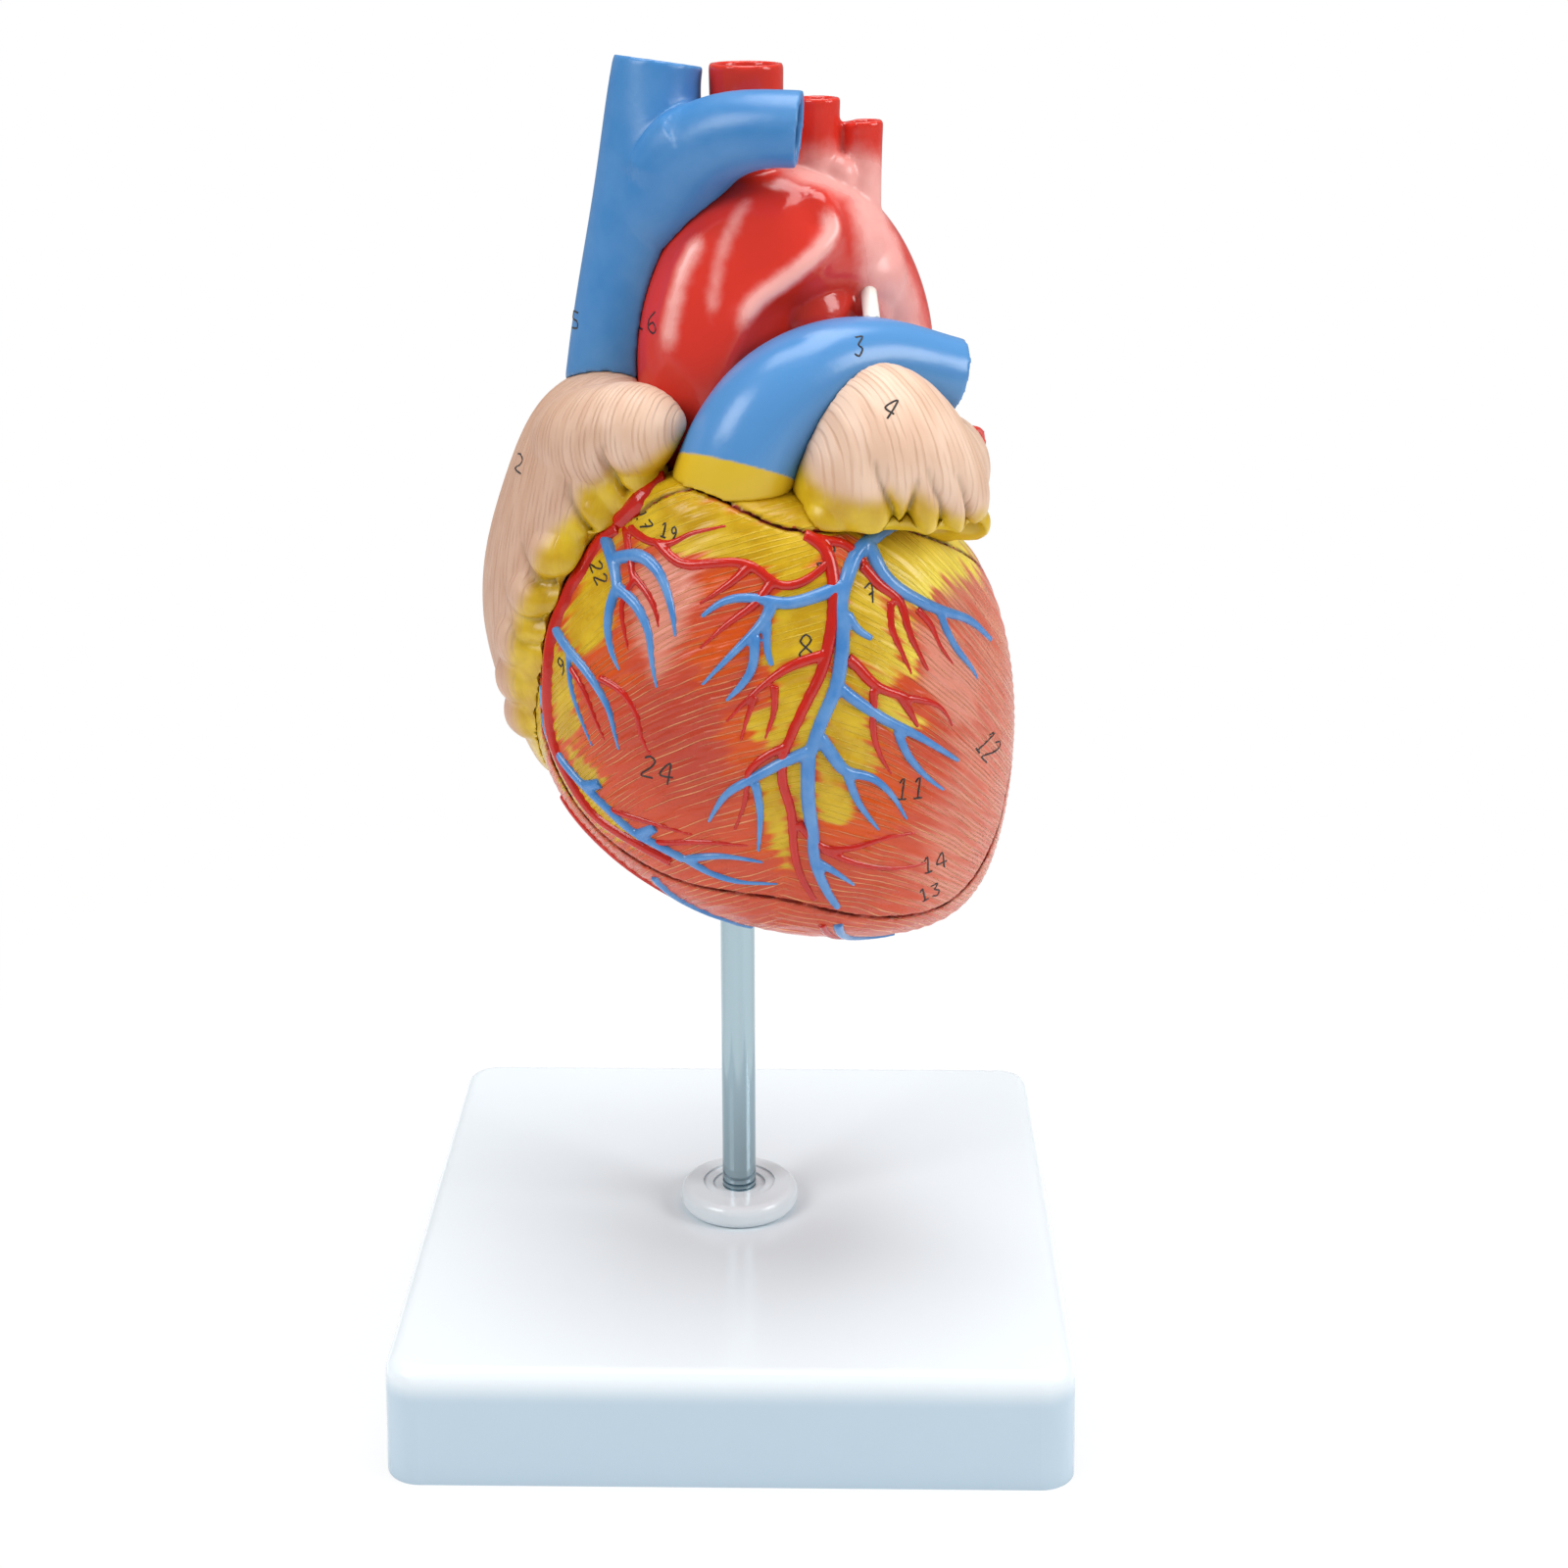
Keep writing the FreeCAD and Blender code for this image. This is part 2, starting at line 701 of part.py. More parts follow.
def round_form(centres, radii, past=0, blunt=0):
    """Round solid along a smooth path. It can run past both ends, or close in blunt noses."""
    spine = Part.BSplineCurve()
    spine.interpolate(Points=centres)
    ways = [spine.tangent(spine.parameter(centre))[0] for centre in centres]
    reference = min((Vec(1, 0, 0), Vec(0, 1, 0), Vec(0, 0, 1)), key=lambda v: abs(v.dot(ways[0])))
    across = ways[0].cross(reference)
    sections = []
    for index, (centre, along, radius) in enumerate(zip(centres, ways, radii)):
        across = (across - along * across.dot(along)).normalize()
        if index == 0:
            centre = centre - along * past
        if index == len(centres) - 1:
            centre = centre + along * past
        sections.append(circle_wire(centre, across, along.cross(across), radius))
    if blunt:
        nose = Part.Vertex(centres[0] - ways[0] * radii[0] * blunt)
        tail = Part.Vertex(centres[-1] + ways[-1] * radii[-1] * blunt)
        sections = [nose, *sections, tail]
    return Part.makeLoft(sections, True)


def tube(route, alias, inset=0, past=0, blunt=0):
    """Round form along a route. An inset gives its bore."""
    centres = [spot(x, y, h) for x, y, h, _ in route]
    return round_form(centres, [size(alias) * stop[3] - inset for stop in route], past, blunt)


def balls(lobes):
    """Row of balls that run into each other, for the fat lobes."""
    return [Part.makeSphere(size("lobe_radius") * lobe[3], spot(*lobe[:3])) for lobe in lobes]


def rod_between(start, end, radius, end_radius=None):
    """Round bar or cone between two points of the frame."""
    along = end - start
    if end_radius is None or abs(end_radius - radius) < 1e-6:
        return Part.makeCylinder(radius, along.Length, start, along)
    return Part.makeCone(radius, end_radius, along.Length, start, along)


def joined(first, *others):
    """Union, made one form at a time."""
    for other in others:
        first = first.fuse(other)
    return first


def trimmed(shape, *cutters):
    """What is left of a shape outside all the cutters."""
    for cutter in cutters:
        if shape.BoundBox.intersect(cutter.BoundBox):
            shape = shape.cut(cutter)
    return shape


def biggest(shape):
    """The largest solid of a shape, without slivers left by a cut."""
    return max(shape.Solids, key=lambda solid: solid.Volume)


def seam_block():
    """Everything in front of the parting face."""
    low, turn, upper, top = SEAM_LEVELS
    floor = SEAM_FLOOR
    rise = turn - low
    drop = top - upper

    def side(y, h):
        return spot(0, y, h) - Vec(FAR, 0, 0)

    def bend(*poles):
        curve = Part.BezierCurve()
        curve.setPoles([side(*pole) for pole in poles])
        return curve.toShape()

    ceiling = 1.5 * top
    edges = [
        Part.makeLine(side(SEAM_LOW_Y, floor), side(SEAM_LOW_Y, low)),
        bend(
            (SEAM_LOW_Y, low),
            (SEAM_LOW_Y, low + 0.4 * rise),
            (SEAM_MIDDLE_Y, turn - 0.4 * rise),
            (SEAM_MIDDLE_Y, turn),
        ),
        Part.makeLine(side(SEAM_MIDDLE_Y, turn), side(SEAM_MIDDLE_Y, upper)),
        bend(
            (SEAM_MIDDLE_Y, upper),
            (SEAM_MIDDLE_Y, upper + 0.4 * drop),
            (SEAM_TOP_Y, top - 0.5 * drop),
            (SEAM_TOP_Y, top),
        ),
        Part.makeLine(side(SEAM_TOP_Y, top), side(SEAM_TOP_Y, ceiling)),
        Part.makeLine(side(SEAM_TOP_Y, ceiling), side(-FAR, ceiling)),
        Part.makeLine(side(-FAR, ceiling), side(-FAR, floor)),
        Part.makeLine(side(-FAR, floor), side(SEAM_LOW_Y, floor)),
    ]
    return Part.Face(Part.Wire(edges)).extrude(Vec(2 * FAR, 0, 0))


def outline_block(gap=0):
    """Everything behind or before the front wall's outline, grown by a gap."""
    route = [spot(x, 0, h) for x, h in FRONT_OUTLINE]
    points = []
    for before, point, after in zip([route[0], *route], route, [*route[1:], route[-1]]):
        outward = (after - before).cross(Vec(0, 1, 0)).normalize()
        points.append(point + outward * gap - Vec(0, FAR, 0))
    curve = Part.BSplineCurve()
    curve.interpolate(Points=points)
    face = Part.Face(Part.Wire([curve.toShape(), Part.makeLine(points[-1], points[0])]))
    return face.extrude(Vec(0, 2 * FAR, 0))


# ---------------------------------------------------------------- heart pieces

PAST = 5


def new_moulding(label, shape):
    """Free-form piece, which no sketch or primitive would describe."""
    feature = doc.addObject("Part::Feature", label)
    feature.Label = label
    feature.Shape = biggest(shape)
    return feature


def surface_point(heart, x, h, side):
    """Where a level line along Y meets the heart, on its front (side -1) or back (side 1)."""
    line = Part.makeLine(spot(x, 0, h) + Vec(0, side * FAR, 0), spot(x, -8, h))
    outer = heart.distToShape(line)
    ends = [vertex.Point.y for vertex in line.common(heart).Vertexes]
    reach = side * max(side * y for y in ends) if ends else outer[1][0][0].y
    point = spot(x, 0, h)
    point.y = reach
    return point


def surface_vessel(heart, route, side):
    """Vessel half sunk in the heart's surface, tapering to its end and flush underneath."""
    centres = [surface_point(heart, x, h, side) for x, h in route]
    steps = range(len(centres))
    radii = [size("groove_vessel_radius") * (1 - 0.45 * step / steps[-1]) for step in steps]
    return biggest(round_form(centres, radii).cut(heart))


def inlet_seat(way):
    """Where an inlet valve sits in its way, and the direction it hangs in."""
    start, end = spot(*way[0]), spot(*way[1])
    return start + (end - start) * INLET_VALVES_AT, (end - start).normalize()


def inlet_way(way):
    """Round way from an atrium to a ventricle, deep enough for the whole valve to hang in it."""
    start, end = spot(*way[0]), spot(*way[1])
    seat, along = inlet_seat(way)
    hang = (seat - start).Length + VALVE_RING * size("leaflet_thickness") + size("leaflet_length")
    depth = max((end - start).Length, hang)
    return rod_between(start, start + along * depth, size("inlet_valve_radius"))


def make_inlet_valve(way, leaves):
    """Ring with hanging leaflets, set in the way from an atrium to a ventricle."""
    seat, along = inlet_seat(way)
    radius = size("inlet_valve_radius")
    thickness = size("leaflet_thickness")
    length = size("leaflet_length")
    mouth = 0.45 * radius
    ring_height = VALVE_RING * thickness
    sleeve = Part.makeCylinder(radius, ring_height, seat, along)
    sleeve = sleeve.cut(Part.makeCylinder(radius - thickness, ring_height, seat, along))
    rim = seat + along * (ring_height - thickness)
    skirt = Part.makeCone(radius, mouth, length, rim, along)
    skirt = skirt.cut(Part.makeCone(radius - thickness, mouth - thickness, length, rim, along))
    across = along.cross(Vec(0, 0, 1)).normalize()
    slots = []
    for leaf in range(leaves):
        slot = Part.makeBox(1.2, 2 * radius, length, Vec(-0.6, 0, 0))
        slot.rotate(Vec(), Vec(0, 0, 1), 360 * leaf / leaves + 90)
        slot.Placement = FreeCAD.Placement(
            rim + along * (2 * thickness),
            FreeCAD.Rotation(across, along.cross(across), along, "ZXY"),
        ) * slot.Placement
        slots.append(slot)
    return biggest(joined(sleeve, skirt.cut(slots)))


def make_outlet_valve(bore, centre, along, radius):
    """Three pockets side by side in the root of a great artery."""
    middle = spot(*centre)
    along = along.normalize()
    across = along.cross(Vec(1, 0, 0)).normalize()
    pocket_radius = size("cusp_share") * radius
    thickness = size("leaflet_thickness")
    full, hollow = [], []
    for index in range(3):
        turn = FreeCAD.Rotation(along, 120 * index)
        place = middle + turn.multVec(across) * (radius - 0.84 * pocket_radius)
        full.append(Part.makeSphere(pocket_radius, place))
        hollow.append(Part.makeSphere(pocket_radius - thickness, place))
    below = Part.makeCylinder(2 * radius, 2 * radius, middle - along * 2 * radius, along)
    cups = joined(*full).cut(hollow)
    return biggest(cups.common(below).common(bore))


def make_cords(tip, ends, *borders):
    """Cords that fan out from a papillary muscle's tip to a leaflet."""
    radius = size("cord_radius")
    start = spot(*tip)
    strings = [rod_between(start, spot(*end), radius) for end in ends]
    strings.append(Part.makeSphere(1.6 * radius, start + (spot(*ends[1]) - start) * 0.08))
    return biggest(trimmed(joined(*strings), *borders))


def make_stand():
    for make in (make_base_plate, make_support_rod, make_rod_collar, make_rod_washer, make_rod_nut):
        make()


def make_heart():
    """The rear of the heart with its atria and vessels, and the front wall that pulls off."""
    wall = size("vessel_wall")
    thick = size("atrium_wall")
    axis = Vec(0, 0, 1)
    heart = stacked(VENTRICLES)
    chambers = [stacked(LEFT_CHAMBER), stacked(RIGHT_CHAMBER)]
    front = seam_block()
    window = front.common(outline_block())
    clear_window = front.common(outline_block(size("part_gap")))

    # outsides and bores
    arch = tube(AORTA, "aorta_radius")
    arch_bore = tube(AORTA, "aorta_radius", wall, 0)
    arch_exit = rod_between(
        spot(*AORTA[-1][:3]) + axis,
        spot(*AORTA[-1][:3]) - axis * PAST,
        size("aorta_radius") * AORTA[-1][3] - wall,
    )
    branches = {
        "brachiocephalic_trunk": (ARM_ARTERY, "arm_artery_radius"),
        "left_carotid_artery": (NECK_ARTERY, "neck_artery_radius"),
        "left_subclavian_artery": (SHOULDER_ARTERY, "shoulder_artery_radius"),
    }
    branch_bores = {
        name: tube(route, alias, wall * 0.75, PAST) for name, (route, alias) in branches.items()
    }
    trunk = tube(PULMONARY_TRUNK, "trunk_radius")
    trunk_bore = tube(PULMONARY_TRUNK, "trunk_radius", wall, PAST)
    lung_artery = tube(RIGHT_LUNG_ARTERY, "lung_artery_radius")
    lung_bore = tube(RIGHT_LUNG_ARTERY, "lung_artery_radius", wall, PAST)
    upper_cava = tube(UPPER_CAVA, "upper_cava_radius")
    upper_bore = tube(UPPER_CAVA, "upper_cava_radius", wall, PAST)
    arm_vein = tube(ARM_VEIN, "arm_vein_radius")
    arm_bore = tube(ARM_VEIN, "arm_vein_radius", wall * 0.75, PAST)
    lower_cava = tube(LOWER_CAVA, "lower_cava_radius")
    lower_bore = tube(LOWER_CAVA, "lower_cava_radius", wall, PAST)
    right_form = stacked(RIGHT_ATRIUM)
    right_ear = tube(RIGHT_AURICLE, "auricle_radius", blunt=0.6)
    right_outside = joined(right_form, right_ear, *balls(RIGHT_LOBES))
    left_form = stacked(LEFT_ATRIUM)
    aortic_way = tube(AORTIC_WAY, "inlet_valve_radius")
    tricuspid_way = inlet_way(TRICUSPID_WAY)
    mitral_way = inlet_way(MITRAL_WAY)

    # rod socket
    heel = Vec(0, 0, size("heart_clearance") - 5)
    tip = size("heart_clearance") + size("rod_reach")
    sleeve = Part.makeCylinder(
        size("socket_radius"), tip + size("socket_roof") - heel.z, heel, axis
    )
    rod_hole = Part.makeCylinder(size("rod_radius") + size("rod_fit"), tip - heel.z, heel, axis)
    new_moulding("rod_socket", sleeve.common(heart).cut(rod_hole))

    # ventricles, parted on a face that bends forward near the top
    pockets = []
    magnets = {}
    for name, place in MAGNETS.items():
        middle = spot(*place)
        deep = Vec(0, size("magnet_thickness"), 0)
        magnets[f"rear_{name}_magnet"] = rod_between(middle, middle + deep, size("magnet_radius"))
        magnets[f"front_{name}_magnet"] = rod_between(middle - deep, middle, size("magnet_radius"))
        pockets.append(rod_between(middle - deep, middle + deep, size("magnet_radius")))
    ways = [*chambers, trunk_bore, *pockets]
    inlets = (aortic_way, tricuspid_way, mitral_way)
    back = trimmed(heart, clear_window, *ways, sleeve, arch_bore, *inlets)
    new_moulding("rear_heart_wall", back)
    new_moulding("front_heart_wall", trimmed(heart.common(window), *ways))
    for name, magnet in magnets.items():
        new_moulding(name, magnet)

    # great arteries
    new_moulding("aorta", trimmed(arch, arch_bore, arch_exit, heart, *branch_bores.values()))
    for name, (route, alias) in branches.items():
        new_moulding(name, trimmed(tube(route, alias), branch_bores[name], arch))
    trunk_cuts = (trunk_bore, lung_bore, heart, clear_window, arch)
    new_moulding("pulmonary_trunk", trimmed(trunk, *trunk_cuts))
    new_moulding("right_pulmonary_artery", trimmed(lung_artery, lung_bore, trunk, arch))
    ends = [spot(*end) for end in LIGAMENT]
    string = rod_between(*ends, size("ligament_radius"))
    new_moulding("arterial_ligament", trimmed(string, arch, trunk))

    # atria and veins
    right_inside = stacked(RIGHT_ATRIUM, thick)
    right_cuts = (right_inside, heart, clear_window, arch, trunk, upper_bore, lower_bore)
    new_moulding("right_atrium", trimmed(right_outside, *right_cuts))
    cava_cuts = (upper_bore, right_outside, arch, lung_artery, arm_bore)
    new_moulding("superior_vena_cava", trimmed(upper_cava, *cava_cuts))
    arm_artery = tube(*branches["brachiocephalic_trunk"])
    vein_cuts = (arm_bore, upper_cava, arch, arm_artery)
    new_moulding("brachiocephalic_vein", trimmed(arm_vein, *vein_cuts))
    new_moulding("inferior_vena_cava", trimmed(lower_cava, lower_bore, right_form, heart))
    veins = {name: tube(route, "lung_vein_radius") for name, route in LUNG_VEINS.items()}
    vein_bores = {
        name: tube(route, "lung_vein_radius", wall * 0.75, PAST) for name, route in LUNG_VEINS.items()
    }
    left_inside = stacked(LEFT_ATRIUM, thick)
    left_cuts = (left_inside, heart, right_outside, arch, lower_cava, *vein_bores.values())
    new_moulding("left_atrium", trimmed(left_form, *left_cuts))
    for name, vein in veins.items():
        new_moulding(name, trimmed(vein, vein_bores[name], left_form, heart, right_outside))
    ear = joined(
        stacked(LEFT_AURICLE),
        tube(AURICLE_NECK, "auricle_radius"),
        *balls(LEFT_LOBES),
    )
    ear_cuts = (heart, clear_window, trunk, left_form, *veins.values())
    new_moulding("left_auricle", trimmed(ear, *ear_cuts))

    # valves, papillary muscles and cords
    tricuspid = make_inlet_valve(TRICUSPID_WAY, 3)
    mitral = make_inlet_valve(MITRAL_WAY, 2)
    new_moulding("tricuspid_valve", tricuspid)
    new_moulding("mitral_valve", mitral)
    bore_radius = size("aorta_radius") * 0.88 - wall
    new_moulding(
        "aortic_valve", make_outlet_valve(arch_bore, AORTIC_VALVE_AT, Vec(-5, -1, 13), bore_radius)
    )
    bore_radius = size("trunk_radius") * 1.02 - wall
    new_moulding(
        "pulmonary_valve",
        make_outlet_valve(trunk_bore, PULMONARY_VALVE_AT, Vec(2, -1, 9), bore_radius),
    )
    for name, (foot, top, leaf_spots) in PAPILLARY_MUSCLES.items():
        chamber, valve = (chambers[1], tricuspid) if name == "right" else (chambers[0], mitral)
        cone = rod_between(
            spot(*foot), spot(*top), size("papillary_radius"), size("papillary_tip_radius")
        )
        muscle = biggest(cone.common(chamber))
        new_moulding(f"{name}_papillary_muscle", muscle)
        new_moulding(f"{name}_cords", make_cords(top, leaf_spots, muscle, valve))

    # coronary trunks on the surface, each clear of those laid before it
    keep = window.common(outline_block(-size("part_gap")))
    laid = []
    for name, route in FRONT_VESSELS.items():
        vessel = trimmed(surface_vessel(heart, route, -1).common(keep), *laid)
        laid.append(new_moulding(name, vessel).Shape)
    laid = [left_form, right_outside, lower_cava]
    for name, route in BACK_VESSELS.items():
        vessel = trimmed(surface_vessel(heart, route, 1), *laid)
        laid.append(new_moulding(name, vessel).Shape)


def main():
    make_stand()
    make_heart()
    doc.recompute()
    os.makedirs("parts", exist_ok=True)
    for piece in doc.Objects:
        if not piece.isDerivedFrom("Part::Feature") or piece.getParentGeoFeatureGroup():
            continue
        flawed = "Invalid" in piece.State or not piece.Shape.isValid()
        if flawed or len(piece.Shape.Solids) != 1:
            raise ValueError(f"{piece.Label} isn't one sound solid")
        piece.Shape.exportStep(f"parts/{piece.Label}.step")
        print(piece.Label, round(piece.Shape.Volume))


if __name__ == "__main__":
    main()
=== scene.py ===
"""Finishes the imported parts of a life-size teaching heart on its stand: relief, paint, ink and stage."""

import math

import bmesh
import bpy
import numpy as np
from mathutils import Matrix, Vector
from mathutils.bvhtree import BVHTree
from mathutils.kdtree import KDTree


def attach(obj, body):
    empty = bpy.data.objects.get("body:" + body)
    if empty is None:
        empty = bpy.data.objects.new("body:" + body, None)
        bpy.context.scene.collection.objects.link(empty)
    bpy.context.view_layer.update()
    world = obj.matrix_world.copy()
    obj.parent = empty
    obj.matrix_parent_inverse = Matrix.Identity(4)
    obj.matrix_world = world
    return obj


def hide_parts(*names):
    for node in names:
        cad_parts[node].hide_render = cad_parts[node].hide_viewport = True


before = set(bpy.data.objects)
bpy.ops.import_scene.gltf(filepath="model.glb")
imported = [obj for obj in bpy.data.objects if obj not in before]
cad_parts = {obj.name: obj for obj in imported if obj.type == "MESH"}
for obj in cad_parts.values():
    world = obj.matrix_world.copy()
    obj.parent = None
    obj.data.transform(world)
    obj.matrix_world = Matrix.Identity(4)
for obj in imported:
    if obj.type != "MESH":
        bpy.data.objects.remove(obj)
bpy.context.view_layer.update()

bl_info = {
    "name": "Teaching heart finish",
    "version": (1, 0, 0),
    "blender": (4, 5, 0),
    "location": "View3D > Sidebar > Teaching heart",
    "description": "Moulds and paints the parts of a life-size teaching heart on its stand",
    "category": "Object",
}

MM = 0.001
VIEW_UP = (0, 0.34, 0.94)
PREFIX = "teaching_heart."


# ---------------------------------------------------------------- settings


def chart(red, green, blue):
    """The linear colour of a paint whose 0 to 255 values are read from a colour chart."""
    return tuple(((c / 255 + 0.055) / 1.055) ** 2.4 for c in (red, green, blue))


def paint(name, description, *values):
    """A colour setting."""
    return bpy.props.FloatVectorProperty(
        name=name, description=description, subtype="COLOR", size=3, min=0, max=1, default=chart(*values)
    )


def distance(name, description, millimetres):
    """A length setting, given in millimetres and kept in metres."""
    return bpy.props.FloatProperty(
        name=name, description=description, subtype="DISTANCE", unit="LENGTH", default=millimetres * MM,
        min=0, precision=5
    )


def amount(name, description, value):
    """A plain number setting."""
    return bpy.props.FloatProperty(name=name, description=description, default=value, min=0, max=100)


class HeartPaints(bpy.types.PropertyGroup):
    """The paints of the heart."""

    muscle: paint("Muscle", "Coral red of the ventricle walls", 206, 76, 38)
    # Painted highlight: light coral laid along the raised fibre lines.
    muscle_light: paint("Muscle highlight", "Pale coral brushed over the raised fibres", 250, 170, 118)
    muscle_deep: paint("Muscle shade", "Deeper red in the middle of the front wall", 178, 56, 40)
    glow: paint("Orange wash", "Orange where the fat fades into muscle", 210, 80, 8)
    fat: paint("Fat", "Yellow of the fat in the grooves", 190, 146, 12)
    # On the muscle's fat, painted highlight along the fibre lines; elsewhere a paler yellow in random
    # patches and on the root of the trunk.
    fat_light: paint("Fat highlight", "Pale yellow on raised fat", 234, 204, 46)
    # Painted light: the palest yellow, laid over the fat at the left shoulder of the heart.
    fat_pale: paint("Shoulder fat", "Palest yellow at the left shoulder of the heart", 252, 230, 88)
    # On the muscle, painted highlight zones and painted light on the right flank; on the leaflets, soft
    # random patches.
    pale: paint("Pale flesh", "Pinkish flesh between the branches", 230, 162, 142)
    flesh: paint("Atrium flesh", "Beige of the atria and auricles", 208, 166, 138)
    # Painted shade down the left side of the right atrium.
    flesh_deep: paint("Atrium shade", "Warmer beige down the side of the right atrium", 182, 136, 112)
    # Paler beige between the fine grooves, which leaves them as painted shade, and in broad random patches.
    flesh_light: paint("Atrium highlight", "Light beige on raised folds", 242, 212, 190)
    lining: paint("Chamber lining", "Pink lining of the chambers", 222, 132, 120)
    cut: paint("Cut wall", "Red of the cut wall", 196, 84, 74)
    artery: paint("Artery red", "Red of the aorta and its branches", 214, 50, 36)
    # Chalky pink of the arch, also used for the painted highlight strokes along its ridges.
    artery_bloom: paint("Artery bloom", "Chalky pink on the arch", 246, 176, 168)
    coronary: paint("Coronary red", "Red of the coronary arteries", 198, 28, 12)
    # Darker red, laid in soft random patches over the coronary arteries.
    coronary_dark: paint("Coronary shade", "Dark red in the groove", 132, 20, 18)
    vein: paint("Vein blue", "Blue of the caval veins", 54, 124, 186)
    trunk: paint("Trunk blue", "Blue of the pulmonary trunk", 80, 140, 198)
    cardiac_vein: paint("Cardiac vein blue", "Blue of the veins of the heart", 58, 124, 192)
    rim: paint("Tube rim", "Pale edge where the paint is thin", 150, 190, 226)
    ligament: paint("Ligament", "White of the arterial ligament", 238, 236, 230)
    leaflet: paint("Leaflet", "Cream of valves and cords", 240, 222, 190)
    ink: paint("Ink", "Black ink of the key numbers", 28, 22, 24)


class HeartRelief(bpy.types.PropertyGroup):
    """Sizes of the moulded relief on the heart."""

    fibre_pitch: distance("Fibre pitch", "Distance between muscle fibres", 1.3)
    fibre_depth: distance("Fibre depth", "Depth of the grooves between fibres", 0.5)
    bundle_pitch: distance("Bundle pitch", "Distance between bundles of fibres", 2.7)
    bundle_height: distance("Bundle height", "Height of the bundles of fibres", 0.1)
    fold_pitch: distance("Groove pitch", "Distance between the fine grooves of the atria", 1.0)
    fold_depth: distance("Groove depth", "Depth of the fine grooves of the atria", 0.13)
    fold_height: distance("Fold height", "Height of the broader folds of the atria", 0.05)
    crease_depth: distance("Crease depth", "Depth of the creases between lobes", 1.9)
    crease_width: distance("Crease width", "Half-width of the creases between lobes", 0.9)
    beam_depth: distance("Beam depth", "Height of the muscle beams in the chambers", 0.9)
    vessel_skin: distance("Vessel skin", "Grid on which the surface vessels are moulded", 0.3)
    pen_radius: distance("Pen radius", "Half-width of the ink strokes", 0.26)


class StandFinish(bpy.types.PropertyGroup):
    """Colours of the stand."""

    plastic: paint("Base plastic", "Slightly cool white of the moulded base", 232, 240, 245)
    # Painted shade for the lower part of the base.
    shaded: paint("Base sides", "Deeper, cooler white low on the sides of the base", 186, 206, 220)
    steel: paint("Rod steel", "Bright steel of the rod", 162, 182, 190)
    zinc: paint("Zinc", "Plating of the nut and washer", 178, 180, 178)
    socket: paint("Socket plastic", "Grey plastic round the rod's tip", 200, 198, 192)
    nickel: paint("Nickel", "Plating of the magnets", 206, 200, 190)


class StageSettings(bpy.types.PropertyGroup):
    """Floor and light."""

    floor: paint("Floor", "Pale floor", 244, 245, 246)
    key_power: amount("Key light", "Power of the large soft light at the left, in watts", 7.6)
    fill_power: amount("Fill light", "Power of the soft light at the right, in watts", 5.8)
    top_power: amount("Top light", "Power of the light above, in watts", 13.0)
    sky: amount("Sky", "Strength of the even light from all round", 0.3)


def paints():
    """The heart's paints, as set in the scene."""
    return bpy.context.scene.heart_paints


def relief():
    """The heart's relief, as set in the scene."""
    return bpy.context.scene.heart_relief


def stand_finish():
    """The stand's colours, as set in the scene."""
    return bpy.context.scene.heart_stand


# ---------------------------------------------------------------- node trees

# Nodes are laid out in columns of this many, this far apart.
COLUMN = 4
ACROSS, DOWN = 180, 220


class Signal:
    """A value that runs through a node tree, with the signs of plain arithmetic."""

    def __init__(self, tree, socket):
        self.tree = tree
        self.socket = socket

    def __add__(self, other):
        return maths(self.tree, "ADD", self, other)

    def __sub__(self, other):
        return maths(self.tree, "SUBTRACT", self, other)

    def __rsub__(self, other):
        return maths(self.tree, "SUBTRACT", other, self)

    def __mul__(self, other):
        return maths(self.tree, "MULTIPLY", self, other)

    def __truediv__(self, other):
        return maths(self.tree, "DIVIDE", self, other)

    def __rtruediv__(self, other):
        return maths(self.tree, "DIVIDE", other, self)

    def fade(self, low, high, start=0.0, end=1.0):
        """The signal, eased from start to end as it goes from low to high."""
        inputs = {"Value": self, "From Min": low, "From Max": high, "To Min": start, "To Max": end}
        eased = add(self.tree, "MapRange", inputs, interpolation_type="SMOOTHSTEP")
        return Signal(self.tree, eased.outputs["Result"])

    def mix(self, under, over):
        """The number under, replaced by the number over where the signal is 1."""
        return Signal(self.tree, add(self.tree, "Mix", {0: self, 2: under, 3: over}).outputs[0])

    def cover(self, under, over):
        """The colour under, covered by the colour over where the signal is 1."""
        return add(self.tree, "Mix", {0: self, 6: under, 7: over}, data_type="RGBA").outputs[2]


def feed(tree, socket, value):
    """Feeds a socket from a signal or another node's output, or sets a plain value on it."""
    if isinstance(value, Signal):
        value = value.socket
    if isinstance(value, bpy.types.NodeSocket):
        tree.links.new(value, socket)
    elif socket.type == "RGBA":
        socket.default_value = (*value, 1)
    else:
        socket.default_value = value


def add(tree, kind, inputs=None, **settings):
    """Adds a node, sets it up and feeds its inputs."""
    made = tree.nodes.new("ShaderNode" + kind)
    column, row = divmod(len(tree.nodes), COLUMN)
    made.location = (ACROSS * column, -DOWN * row)
    for key, value in settings.items():
        setattr(made, key, value)
    for key, value in (inputs or {}).items():
        feed(tree, made.inputs[key], value)
    return made


def maths(tree, operation, first, second=0.0):
    """A step of arithmetic on one or two values."""
    return Signal(tree, add(tree, "Math", {0: first, 1: second}, operation=operation).outputs[0])


def vector_maths(tree, operation, *inputs):
    """The outputs of a step of arithmetic on vectors."""
    return add(tree, "VectorMath", dict(enumerate(inputs)), operation=operation).outputs


def parts(tree, vector):
    """The three numbers of a vector."""
    return [Signal(tree, part) for part in add(tree, "SeparateXYZ", {0: vector}).outputs]


